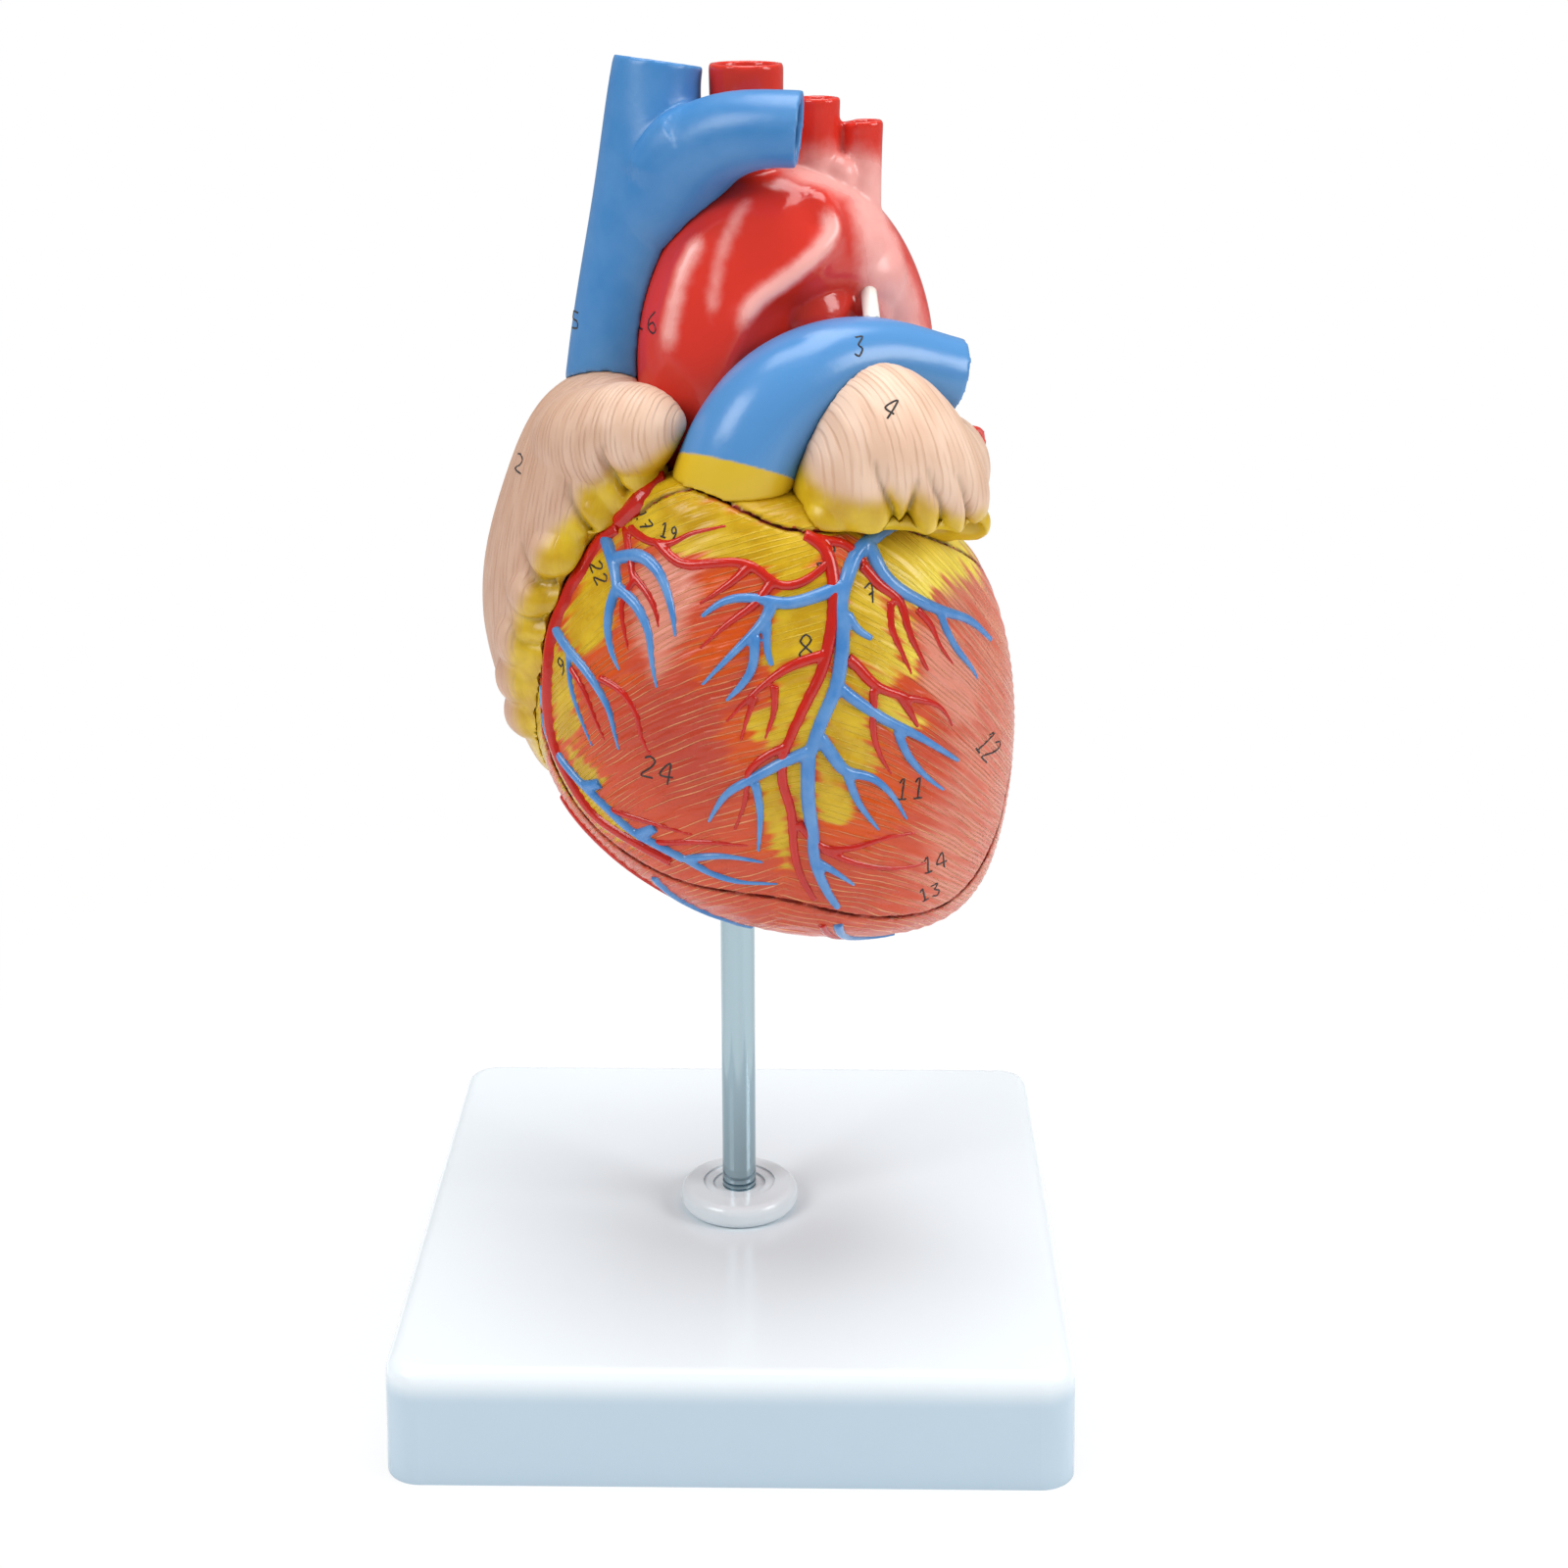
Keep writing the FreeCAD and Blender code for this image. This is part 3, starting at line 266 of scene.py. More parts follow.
def noise(tree, vector, detail, scale=1.0, roughness=0.5, across=None):
    """Soft noise; a value across it gives it a fourth dimension."""
    inputs = {"Vector": vector, "Scale": scale, "Detail": detail, "Roughness": roughness}
    if across is None:
        return Signal(tree, add(tree, "TexNoise", inputs).outputs[0])
    inputs["W"] = across
    return Signal(tree, add(tree, "TexNoise", inputs, noise_dimensions="4D").outputs[0])


def comb(count, reach):
    """1 on the lines midway between whole counts, fading to 0 at the reach from them."""
    gap = maths(count.tree, "FRACT", count) - 0.5
    return maths(count.tree, "ABSOLUTE", gap).fade(0.03, reach, 1.0, 0.0)


# ---------------------------------------------------------------- shared effects

# Fibre lines left and right of the front groove: where they start to bend, in metres, then how they rise.
FIBRES_LEFT = {"Start": 0.006, "Slope": -0.27, "Twist": -120.0, "Fan": 0.0}
FIBRES_RIGHT = {"Start": 0.018, "Slope": 0.4, "Twist": 230.0, "Fan": 11.0}
# The level at which the fan of the fibres is neither drawn out nor pressed together, in metres.
FAN_LEVEL = 0.148
GROOVE_TOP = Vector((22, 0, 200)) * MM
GROOVE_FOOT = Vector((13, 0, 140)) * MM
# The grooves of the atria run down round this axis, and are counted at this distance from it.
FAN_AXIS = Vector((0, 12, 200)) * MM
FAN_REACH = 42 * MM
# How far the fine lines stray, in parts of their pitch.
SWAY = 1.6


def bent_fibres(group, position, start, slope, twist, fan, pitch, run):
    """Fine ridges along bent lines, drawn as seen from the front and a little from above."""
    level = Signal(group, vector_maths(group, "DOT_PRODUCT", position, VIEW_UP)["Value"])
    side = parts(group, position)[0] - start
    rise = (twist * side * side + slope) * side * ((level - FAN_LEVEL) * fan + 1.0)
    across = (level + rise) / pitch
    along = add(group, "VectorMath", {0: position, "Scale": 1.0 / run}, operation="SCALE").outputs[0]
    fine = noise(group, along, 0.6, across=across)
    broad = noise(group, along, 1.0, scale=1.3, across=across * 0.45)
    line = comb(across + noise(group, along, 1.0) * SWAY, 0.18) * fine.fade(0.38, 0.56)
    return {"Line": line, "Swell": broad.fade(0.3, 0.7), "Bristle": fine.fade(0.3, 0.7)}


def upright_grooves(group, position, axis, turn, run):
    """Fine grooves that run down all round an upright axis."""
    x, y, z = parts(group, vector_maths(group, "SUBTRACT", position, axis)[0])
    across = maths(group, "ARCTAN2", x, y * -1.0) / turn
    along = z / run
    fine, broad = (
        noise(group, add(group, "CombineXYZ", {0: across * share, 1: along}).outputs[0], detail)
        for share, detail in ((1.0, 1.0), (0.4, 0.5))
    )
    cutting = comb(across + noise(group, position, 2.0, scale=70.0) * SWAY, 0.26) * fine.fade(0.34, 0.6)
    return {"Line": 1.0 - cutting, "Swell": broad.fade(0.3, 0.7)}


def uneven_coat(group, position, grain, sharpness):
    """Soft unevenness of a brushed or moulded surface."""
    cloud = noise(group, position, 3.0, scale=1.0 / grain, roughness=0.55)
    reach = 0.5 - sharpness * 0.4
    return {"Mask": cloud.fade(0.5 - reach, reach + 0.5), "Height": cloud}


# What each shared effect reads after the position, with the values that it starts from.
EFFECTS = {
    bent_fibres: {"Start": 0.0, "Slope": 0.0, "Twist": 0.0, "Fan": 0.0, "Pitch": 0.0015, "Run": 0.014},
    upright_grooves: {"Axis": (0, 0, 0), "Turn": 0.026, "Run": 0.014},
    uneven_coat: {"Grain": 0.01, "Sharpness": 0.5},
}


def node_group(effect):
    """The node group of a shared effect, made when it is first asked for."""
    name = effect.__name__
    if name in bpy.data.node_groups:
        return bpy.data.node_groups[name]
    group = bpy.data.node_groups.new(name, "ShaderNodeTree")
    inputs = {"Position": (0, 0, 0), **EFFECTS[effect]}
    for title, default in inputs.items():
        kind = "NodeSocketFloat" if isinstance(default, float) else "NodeSocketVector"
        group.interface.new_socket(name=title, in_out="INPUT", socket_type=kind).default_value = default
    source = group.nodes.new("NodeGroupInput").outputs
    outputs = effect(group, *(Signal(group, source[title]) for title in inputs))
    for title in outputs:
        group.interface.new_socket(name=title, in_out="OUTPUT", socket_type="NodeSocketFloat")
    result = group.nodes.new("NodeGroupOutput").inputs
    for title, value in outputs.items():
        feed(group, result[title], value)
    return group


# ---------------------------------------------------------------- material recipes

# How much duller the dullest spots of plastic and metal are than their glossiest.
GLOSS_SPREAD = 0.06
# Roughness of ink and of cream paint.
MATT = (0.4, 0.5)


class Recipe:
    """A material in the making, with a Principled shader, that reads the position on its piece."""

    def __init__(self, name):
        self.material = bpy.data.materials.new(name)
        self.material.use_nodes = True
        self.tree = self.material.node_tree
        self.shader = self.tree.nodes["Principled BSDF"]
        self.position = add(self.tree, "TexCoord").outputs["Object"]

    def attribute(self, name):
        """A mask kept on the piece's points."""
        read = add(self.tree, "Attribute", attribute_name=name, attribute_type="GEOMETRY")
        return Signal(self.tree, read.outputs["Fac"])

    def place(self, effect, **inputs):
        """Puts a shared effect into the material."""
        group = add(self.tree, "Group", {"Position": self.position, **inputs}, node_tree=node_group(effect))
        return {socket.name: Signal(self.tree, socket) for socket in group.outputs}

    def coat(self, grain, sharpness):
        """Soft unevenness with patches of a size in millimetres."""
        return self.place(uneven_coat, Grain=grain * MM, Sharpness=sharpness)

    def finish(self, colour, roughness, height=None, depth=0.0, plain=None):
        """Feeds the shader its colour, roughness and relief, and sets what is the same all over."""
        feed(self.tree, self.shader.inputs["Base Color"], colour)
        feed(self.tree, self.shader.inputs["Roughness"], roughness)
        if height is not None:
            bump = add(self.tree, "Bump", {"Height": height, "Distance": depth, "Strength": 1.0})
            feed(self.tree, self.shader.inputs["Normal"], bump.outputs[0])
        for socket, value in (plain or {}).items():
            self.shader.inputs[socket].default_value = value
        return self.material


def darker(colour, share):
    """The colour with only a share of its light."""
    return tuple(part * share for part in colour)


def side_of_groove(recipe):
    """0 left of the front groove, 1 right of it."""
    along = (GROOVE_TOP - GROOVE_FOOT).normalized()
    across = Vector((along.z, 0, -along.x))
    offset = vector_maths(recipe.tree, "SUBTRACT", recipe.position, tuple(GROOVE_FOOT))[0]
    gap = vector_maths(recipe.tree, "DOT_PRODUCT", offset, tuple(across))["Value"]
    return Signal(recipe.tree, gap).fade(-2 * MM, 2 * MM)


def muscle_material():
    """Brushed muscle with fat, orange washes, chamber lining and cut faces, with painted highlights on the
    fibres and in light pink zones, painted light on the right flank and the shoulder fat, and painted shade
    along the seam.
    """
    colours = paints()
    recipe = Recipe("muscle_paint")
    pitch = relief().fibre_pitch
    left, right = (recipe.place(bent_fibres, Pitch=pitch, **bend) for bend in (FIBRES_LEFT, FIBRES_RIGHT))
    side = side_of_groove(recipe)
    line, swell, bristle = (side.mix(left[key], right[key]) for key in ("Line", "Swell", "Bristle"))
    coat = recipe.coat(13, sharpness=0.6)["Mask"]
    worn = recipe.coat(7, sharpness=0.7)["Mask"]

    def masked(name, sway):
        """The attribute's mask, its edge drawn out along the brush marks."""
        return (recipe.attribute(name) + (bristle - 0.5) * sway).fade(0.22, 0.78)

    glow, pale, fat = masked("glow", 0.6), masked("pale", 0.3), masked("fat", 0.55)
    colour = (coat * 0.4).cover(colours.muscle, colours.muscle_deep)
    colour = (recipe.attribute("deep") * 0.7).cover(colour, colours.muscle_deep)
    colour = (glow * 0.95).cover(colour, colours.glow)
    # Painted highlight and painted light: light pink zones and the lit right flank.
    colour = (pale * 0.64).cover(colour, colours.pale)
    # Painted highlight along the raised fibre lines, weaker in random patches and in the orange wash.
    raised = line * worn.fade(0.0, 1.0, 0.45, 0.95) * (1.0 - glow * 0.45)
    colour = raised.cover(colour, colours.muscle_light)

    # Painted highlight: paler yellow along the fibre lines of the fat, and in random worn patches.
    yellow = (maths(recipe.tree, "MAXIMUM", line, worn) * 0.5).cover(colours.fat, colours.fat_light)
    # Painted light: the shoulder fat turns paler towards the heart's left side.
    shoulder = parts(recipe.tree, recipe.position)[0].fade(26 * MM, 46 * MM, 0.0, 0.95)
    colour = fat.cover(colour, shoulder.cover(yellow, colours.fat_pale))

    lining = recipe.attribute("lining")
    cut = recipe.attribute("cut").fade(0.4, 0.6)
    colour = cut.cover(lining.cover(colour, colours.lining), colours.cut)
    # Painted shade: a near-black line along the seam with the other half.
    colour = (recipe.attribute("seam") * 0.75).cover(colour, darker(colours.muscle_deep, 0.12))

    shown = (1.0 - maths(recipe.tree, "MAXIMUM", lining, cut) * 0.8) * (1.0 - fat * 0.5)
    height = (line * 0.55 + swell * 0.6) * shown
    roughness = worn.fade(0.0, 1.0, 0.24, 0.36)
    return recipe.finish(colour, roughness, height, relief().fibre_depth, {"Specular IOR Level": 0.36})


def atrium_material():
    """Beige grooves of the atria with yellow fat on the lobes, and painted shade in the grooves, in the
    creases and down the left side of the right atrium.
    """
    colours = paints()
    recipe = Recipe("atrium_paint")
    turn = relief().fold_pitch / FAN_REACH
    fan = recipe.place(upright_grooves, Axis=FAN_AXIS, Turn=turn, Run=9 * MM)
    line = fan["Line"]
    # Painted shade in the fine grooves: the surface between them and broad random patches take some paler
    # beige.
    colour = (line * 0.3 + fan["Swell"] * 0.35).cover(colours.flesh, colours.flesh_light)
    # Painted shade: the left side of the right atrium is painted a darker beige.
    deep = parts(recipe.tree, recipe.position)[0].fade(-44 * MM, -14 * MM, 0.55, 0.0)
    colour = deep.cover(colour, colours.flesh_deep)
    fat = (recipe.attribute("fat") + (line - 0.5) * 0.12).fade(0.0, 1.0)
    yellow = (recipe.coat(9, sharpness=0.5)["Mask"] * 0.7).cover(colours.fat, colours.fat_light)
    colour = fat.cover(colour, yellow)
    # Painted shade: the creases between the lobes are painted a dark brown.
    colour = (recipe.attribute("crease") * 0.75).cover(colour, darker(colours.fat, 0.2))
    height = line * (1.0 - fat * 0.8)
    return recipe.finish(colour, fat.fade(0.0, 1.0, 0.46, 0.3), height, relief().fold_depth)


def vessel_material(
    name, colour, second, grain=12.0, roughness=(0.26, 0.36), bump=0.08, mask=None, worn=0.16
):
    """Glossy vessel paint that a second tone covers in soft patches, or where an attribute says."""
    recipe = Recipe(name)
    fine = recipe.coat(3.5, sharpness=0.3)["Height"]
    if mask:
        over = (recipe.attribute(mask) + (fine - 0.5) * 0.35).fade(0.08, 0.92)
    else:
        over = recipe.coat(grain, sharpness=0.5)["Mask"] * worn
    return recipe.finish(over.cover(colour, second), over.fade(0.0, 1.0, *roughness), fine, bump * MM)


def plain_plastic(name, colour, roughness, grain, bump, low_shade=None):
    """Moulded plastic: faint orange peel and uneven gloss, with painted shade, a darker, cooler colour, low
    on its sides when asked for.
    """
    recipe = Recipe(name)
    cloud = recipe.coat(60, sharpness=0.4)["Mask"]
    tone = (cloud * 0.3).cover(colour, darker(colour, 0.94))
    # Painted shade: below the given heights the plastic is painted darker and cooler.
    if low_shade:
        low, high, shade = low_shade
        tone = parts(recipe.tree, recipe.position)[2].fade(low * MM, high * MM, 1.0, 0.0).cover(tone, shade)
    rough = cloud.fade(0.0, 1.0, roughness, roughness + GLOSS_SPREAD)
    return recipe.finish(tone, rough, recipe.coat(grain, sharpness=0.2)["Height"], bump * MM)


def metal(name, colour, roughness, stretch):
    """Drawn or plated metal with faint marks along its length."""
    recipe = Recipe(name)
    drawn = add(recipe.tree, "Mapping", {"Vector": recipe.position, "Scale": stretch}).outputs[0]
    marks = noise(recipe.tree, drawn, 2.0)
    tone = marks.cover(colour, darker(colour, 0.92))
    rough = marks.fade(0.3, 0.7, roughness, roughness + GLOSS_SPREAD)
    return recipe.finish(tone, rough, marks, 0.004 * MM, {"Metallic": 1.0})


# ---------------------------------------------------------------- shaping tools

# Stands for no distance found, in millimetres.
FAR_OFF = 1e3


def link(piece):
    """Puts a new object into the scene."""
    bpy.context.scene.collection.objects.link(piece)
    return piece


def settle(piece, body, slot, material, *nodes):
    """Gives a finished piece its paint, its body and the CAD nodes that it stands for."""
    piece.data.materials.clear()
    piece.data.materials.append(material)
    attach(piece, body)
    if nodes:
        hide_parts(*nodes)


def dress(material, *nodes):
    """Gives CAD nodes that are shown as they are their material."""
    for node in nodes:
        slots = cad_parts[node].data.materials
        slots.clear()
        slots.append(material)


def as_mesh(piece, name):
    """The mesh of a piece as its curves and modifiers leave it; the piece itself goes."""
    mesh = bpy.data.meshes.new_from_object(piece.evaluated_get(bpy.context.evaluated_depsgraph_get()))
    bpy.data.objects.remove(piece)
    mesh.name = name
    return mesh


def smooth_piece(piece, name):
    """A smooth-shaded piece made of what the modifiers of a rough one leave."""
    mesh = as_mesh(piece, name)
    mesh.polygons.foreach_set("use_smooth", np.ones(len(mesh.polygons), bool))
    return link(bpy.data.objects.new(name, mesh))


def even_skin(mesh, name, skin, rounds):
    """Covers a closed mesh with an even skin of small faces, softened by rounds of smoothing."""
    piece = link(bpy.data.objects.new(name + "_rough", mesh))
    remesh = piece.modifiers.new("even skin", "REMESH")
    remesh.mode = "VOXEL"
    remesh.voxel_size = skin
    soften = piece.modifiers.new("soften", "SMOOTH")
    soften.factor = 0.5
    soften.iterations = rounds
    return smooth_piece(piece, name)


def cast(nodes, skin, rounds, webs=()):
    """One even skin over welded copies of CAD nodes, with round webs that fill the angles between them."""
    nodes = [nodes] if isinstance(nodes, str) else nodes
    shell = bmesh.new()
    for node in nodes:
        shell.from_mesh(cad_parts[node].data)
    bmesh.ops.remove_doubles(shell, verts=shell.verts, dist=0.001 * MM)
    for radius, middle in webs:
        spot = Matrix.Translation(Vector(middle) * MM)
        bmesh.ops.create_icosphere(shell, subdivisions=4, radius=radius * MM, matrix=spot)
    mesh = bpy.data.meshes.new(nodes[0] + "_welded")
    shell.to_mesh(mesh)
    shell.free()
    return even_skin(mesh, nodes[0] + "_cast", skin * MM, rounds)


def places(piece):
    """The piece's points in millimetres and their normals, as arrays."""
    mesh = piece.data
    points, normals = (np.empty(len(mesh.vertices) * 3, np.float32) for _ in range(2))
    mesh.vertices.foreach_get("co", points)
    mesh.vertex_normals.foreach_get("vector", normals)
    return points.reshape(-1, 3).astype(float) / MM, normals.reshape(-1, 3).astype(float)


def move_along(piece, normals, heights):
    """Moves each point along its normal by its height in millimetres."""
    points = places(piece)[0] + normals * heights[:, None]
    piece.data.vertices.foreach_set("co", (points * MM).astype(np.float32).ravel())
    piece.data.update()


def store(piece, name, values):
    """Keeps a mask on the piece's points for its material to read."""
    layer = piece.data.attributes.new(name, "FLOAT", "POINT")
    layer.data.foreach_set("value", values.astype(np.float32))


def ease(values, low, high):
    """0 below low, 1 above high and a smooth step between them."""
    share = np.clip((values - low) / (high - low), 0, 1)
    return share * share * (3 - 2 * share)


def surface(*pieces):
    """A search tree of the faces of one or more pieces, in millimetres."""
    points, faces = [], []
    for piece in pieces:
        start = len(points)
        points.extend(vertex.co / MM for vertex in piece.data.vertices)
        faces.extend([start + i for i in face.vertices] for face in piece.data.polygons)
    return BVHTree.FromPolygons(points, faces)


# Rays start this far from the heart's middle. Where one misses, the nearest wall is sought this far out.
RAY_START = 200
WALL_OUT = 22


def drop(tree, x, z, front=True):
    """The place and normal where the surface is met at (x, z), seen from the front or from behind."""
    way = 1 if front else -1
    met, normal, _, _ = tree.ray_cast(Vector((x, -RAY_START * way, z)), Vector((0, way, 0)))
    if met is None:
        met, normal, _, _ = tree.find_nearest(Vector((x, -WALL_OUT * way, z)))
    return met, normal


def spread(route, step):
    """Points a step apart along a smooth curve through the route's points, with their share of the way."""
    route = np.array(route, float)
    ends = np.vstack([2 * route[0] - route[1], route, 2 * route[-1] - route[-2]])
    points, shares = [], []
    for i in range(len(route) - 1):
        before, start, end, after = ends[i:i + 4]
        count = max(2, int(np.linalg.norm(end - start) / step))
        for k in range(count):
            part = k / count
            bend = 2 * before - 5 * start + 4 * end - after
            twist = 3 * start - before - 3 * end + after
            points.append(0.5 * (2 * start + (end - before) * part + bend * part**2 + twist * part**3))
            shares.append((i + part) / (len(route) - 1))
    points.append(route[-1])
    shares.append(1.0)
    return points, shares


def inside(points, outline):
    """How far each (x, z) point lies inside a closed outline, in millimetres; negative outside it."""
    corners = np.array(outline, float)
    nearest = np.full(len(points), FAR_OFF)
    within = np.zeros(len(points), bool)
    x, z = points[:, 0], points[:, 1]
    for start, end in zip(corners, np.roll(corners, -1, axis=0)):
        edge = end - start
        right, up = x - start[0], z - start[1]
        share = np.clip((right * edge[0] + up * edge[1]) / (edge @ edge), 0, 1)
        nearest = np.minimum(nearest, np.hypot(right - share * edge[0], up - share * edge[1]))
        crosses = (start[1] > z) != (end[1] > z)
        if edge[1]:
            within ^= crosses & (x < start[0] + (z - start[1]) * edge[0] / edge[1])
    return np.where(within, nearest, -nearest)


def patches(points, outlines, softness, growth=0.0):
    """The mask of several outlines, grown a little, whose edges fade over the softness."""
    mask = np.zeros(len(points))
    for outline in outlines:
        deep = inside(points[:, (0, 2)], outline) + growth
        mask = np.maximum(mask, ease(deep, -softness, softness))
    return mask


def near_route(points, tree, route):
    """Distance from each point to a route drawn on the front of a surface, and its share of the way."""
    marks = [(drop(tree, *spot)[0], share) for spot, share in zip(*spread(route, 0.5))]
    index = KDTree(len(marks))
    for i, (mark, _) in enumerate(marks):
        index.insert(mark, i)
    index.balance()
    gaps, shares = np.full(len(points), FAR_OFF), np.zeros(len(points))
    for i, point in enumerate(points):
        _, found, gap = index.find(point)
        gaps[i], shares[i] = gap, marks[found][1]
    return gaps, shares


# ---------------------------------------------------------------- heart walls

# Outlines of paint on the front wall, as (x, z) in millimetres seen from the front.
FAT_OUTLINES = (
    ((-19, 208), (-10, 212), (-4, 210), (3, 208), (14, 204), (17, 202), (18, 199), (14, 196), (11, 196),
     (8, 198), (5, 199), (2, 200), (-4, 200), (-10, 200), (-15, 201), (-19, 202), (-21, 204)),
    ((-26, 197), (-29, 195), (-32, 189), (-34, 184), (-35, 179), (-33, 177), (-31, 177), (-27, 180),
     (-26, 185), (-25, 191), (-24, 195)),
    ((-39, 175), (-35, 174), (-34, 169), (-34, 164), (-33, 160), (-34, 157), (-37, 156), (-38, 160),
     (-38, 166)),
    ((-35, 154), (-33, 152), (-30, 150), (-28, 149), (-31, 148), (-33, 150)),
    ((-40, 153), (-37, 149), (-31, 145), (-26, 140), (-20, 136), (-21, 134), (-27, 136), (-33, 140),
     (-38, 144)),
    ((11, 196), (21, 197), (20, 194), (14, 192), (11, 192)),
    ((10, 190), (20, 191), (21, 186), (20, 181), (15, 180), (11, 178), (9, 176), (8, 181), (9, 186)),
    ((11, 176), (18, 177), (16, 173), (14, 168), (11, 163), (9, 162), (10, 166), (10, 171)),
    ((5, 166), (8, 168), (8, 164), (6, 163)),
    ((20, 176), (18, 171), (16, 166), (14, 160), (16, 160), (18, 164), (20, 170), (21, 174)),
    ((25, 196), (27, 196), (30, 193), (32, 188), (33, 182), (34, 177), (36, 174), (33, 174), (29, 177),
     (25, 180), (25, 185), (25, 191)),
    ((34, 189), (36, 185), (38, 178), (38, 175), (37, 179), (35, 184)),
    ((24, 177), (26, 176), (28, 173), (29, 170), (27, 171), (24, 174)),
    ((31, 170), (34, 169), (36, 166), (39, 163), (36, 163), (31, 167)),
    ((23, 172), (28, 168), (28, 164), (29, 159), (30, 155), (27, 156), (23, 157), (20, 164), (21, 168)),
    ((19, 160), (21, 155), (24, 151), (25, 147), (23, 143), (21, 144), (19, 149)),
    ((12, 156), (15, 157), (16, 151), (16, 145), (15, 147), (13, 152)),
    ((7, 152), (10, 155), (11, 148), (12, 142), (12, 134), (9, 141), (8, 142)),
    ((28, 206), (40, 208), (47, 208), (48, 198), (44, 192), (40, 188), (37, 189), (33, 195), (29, 200)),
)
# Fat at the shoulder, which fades out slowly.
SHOULDER_FAT = (((30, 202), (36, 196), (42, 193), (49, 192), (55, 191), (62, 193), (64, 208), (30, 208)),)
GLOW_OUTLINES = (
    ((0, 168), (7, 169), (8, 158), (0, 157)),
    ((19, 149), (25, 147), (33, 140), (28, 138), (19, 139)),
    ((29, 158), (33, 156), (38, 150), (35, 139), (30, 140), (26, 150)),
    ((-28, 180), (-23, 180), (-21, 174), (-25, 171), (-30, 172), (-31, 176)),
    ((-6, 198), (-1, 199), (5, 198), (1, 194), (-4, 191), (-7, 193)),
    ((-6, 181), (-3, 185), (2, 187), (6, 188), (5, 183), (0, 178), (-6, 175)),
    ((6, 156), (14, 158), (14, 136), (6, 136)),
)
# Painted highlight: light pink zones on the muscle.
PALE_OUTLINES = (
    ((-18, 196), (-13, 199), (-8, 198), (-6, 193), (-9, 185), (-13, 177), (-15, 174), (-19, 180),
     (-20, 188)),
    ((39, 183), (47, 181), (54, 171), (53, 159), (47, 161), (41, 171)),
)
# Painted light: the flank right of the branches is painted lighter all over.
LIGHT_OUTLINES = (((36, 200), (70, 200), (70, 110), (40, 112), (36, 130), (42, 150), (46, 165), (42, 180)),)
DEEP_OUTLINES = (((-19, 172), (-9, 177), (1, 174), (1, 157), (-5, 145), (-15, 151), (-22, 161)),)
GROOVE_NODES = ("right_atrium", "left_atrium", "left_auricle")
PAPILLARY_MUSCLES = ("right_papillary_muscle", "left_front_papillary_muscle", "left_rear_papillary_muscle")
HEART_MIDDLE = Vector((12, 0, 158))
# Above this height the rear wall's front is all fat.
FAT_LEVEL = 201
# A ray across a chamber starts this far off its wall and ends here; one stopped nearer than the cut's reach
# left from a cut face.
LIFT_OFF = 0.6
CHAMBER_REACH = 70
CUT_REACH = 1.2
# How far off the atria and the other half are still looked for.
GROOVE_REACH = 12
PARTING_REACH = 3


def paint_walls(piece, other, walls, groove, rim):
    """Tells outside, lining and cut faces apart and lays the paint masks on a heart wall, painted
    highlights, painted light and painted shade among them.
    """
    points, normals = places(piece)
    gaps, depth, parting = (np.full(len(points), FAR_OFF) for _ in range(3))
    for i, (point, way) in enumerate(zip(map(Vector, points), map(Vector, normals))):
        met = walls.ray_cast(point + way * LIFT_OFF, way, CHAMBER_REACH)[3]
        if met is None and way.dot(point - HEART_MIDDLE) < 0:
            met = groove.ray_cast(point + way * LIFT_OFF, way, CHAMBER_REACH)[3]
        close = groove.find_nearest(point, GROOVE_REACH)[3]
        beside = other.find_nearest(point, PARTING_REACH)[3]
        for distances, found in ((depth, met), (gaps, close), (parting, beside)):
            if found is not None:
                distances[i] = found
    cut = (depth < CUT_REACH) * np.maximum(rim, normals[:, 1] > -0.3)
    lining = ((depth >= CUT_REACH) & (depth < CHAMBER_REACH)).astype(float)
    outside = 1 - np.maximum(cut, lining)
    facing = ease(-normals[:, 1], -0.25, 0.1) * outside
    ring = ease(-gaps, -7.5, -3.0) * outside * ease(normals[:, 1], -0.75, -0.3)
    top = ease(points[:, 2], FAT_LEVEL, FAT_LEVEL + 3) * outside * rim
    shoulder = patches(points, SHOULDER_FAT, softness=6.5, growth=1.0) * facing
    grooves = patches(points, FAT_OUTLINES, softness=3.0, growth=0.8) * facing
    store(piece, "fat", np.maximum.reduce((grooves, ring, top, shoulder)))
    halo = patches(points, FAT_OUTLINES, softness=4.0, growth=3.6) * 0.8
    glow = patches(points, GLOW_OUTLINES, softness=5.0, growth=1.0)
    store(piece, "glow", np.maximum(glow, halo) * facing)
    # Painted light on the flank and painted highlight in the light pink zones, kept in one mask.
    light = patches(points, LIGHT_OUTLINES, softness=9.0) * 0.58
    store(piece, "pale", np.maximum(patches(points, PALE_OUTLINES, softness=5.5), light) * facing)
    store(piece, "deep", patches(points, DEEP_OUTLINES, softness=8.0) * facing)
    # Painted shade along the seam, where the other half lies within about a millimetre.
    store(piece, "seam", ease(-parting, -1.15, -0.35) * outside)
    store(piece, "cut", cut)
    store(piece, "lining", lining)
    return points, normals, lining, outside * ease(parting, 0.5, 2.5)


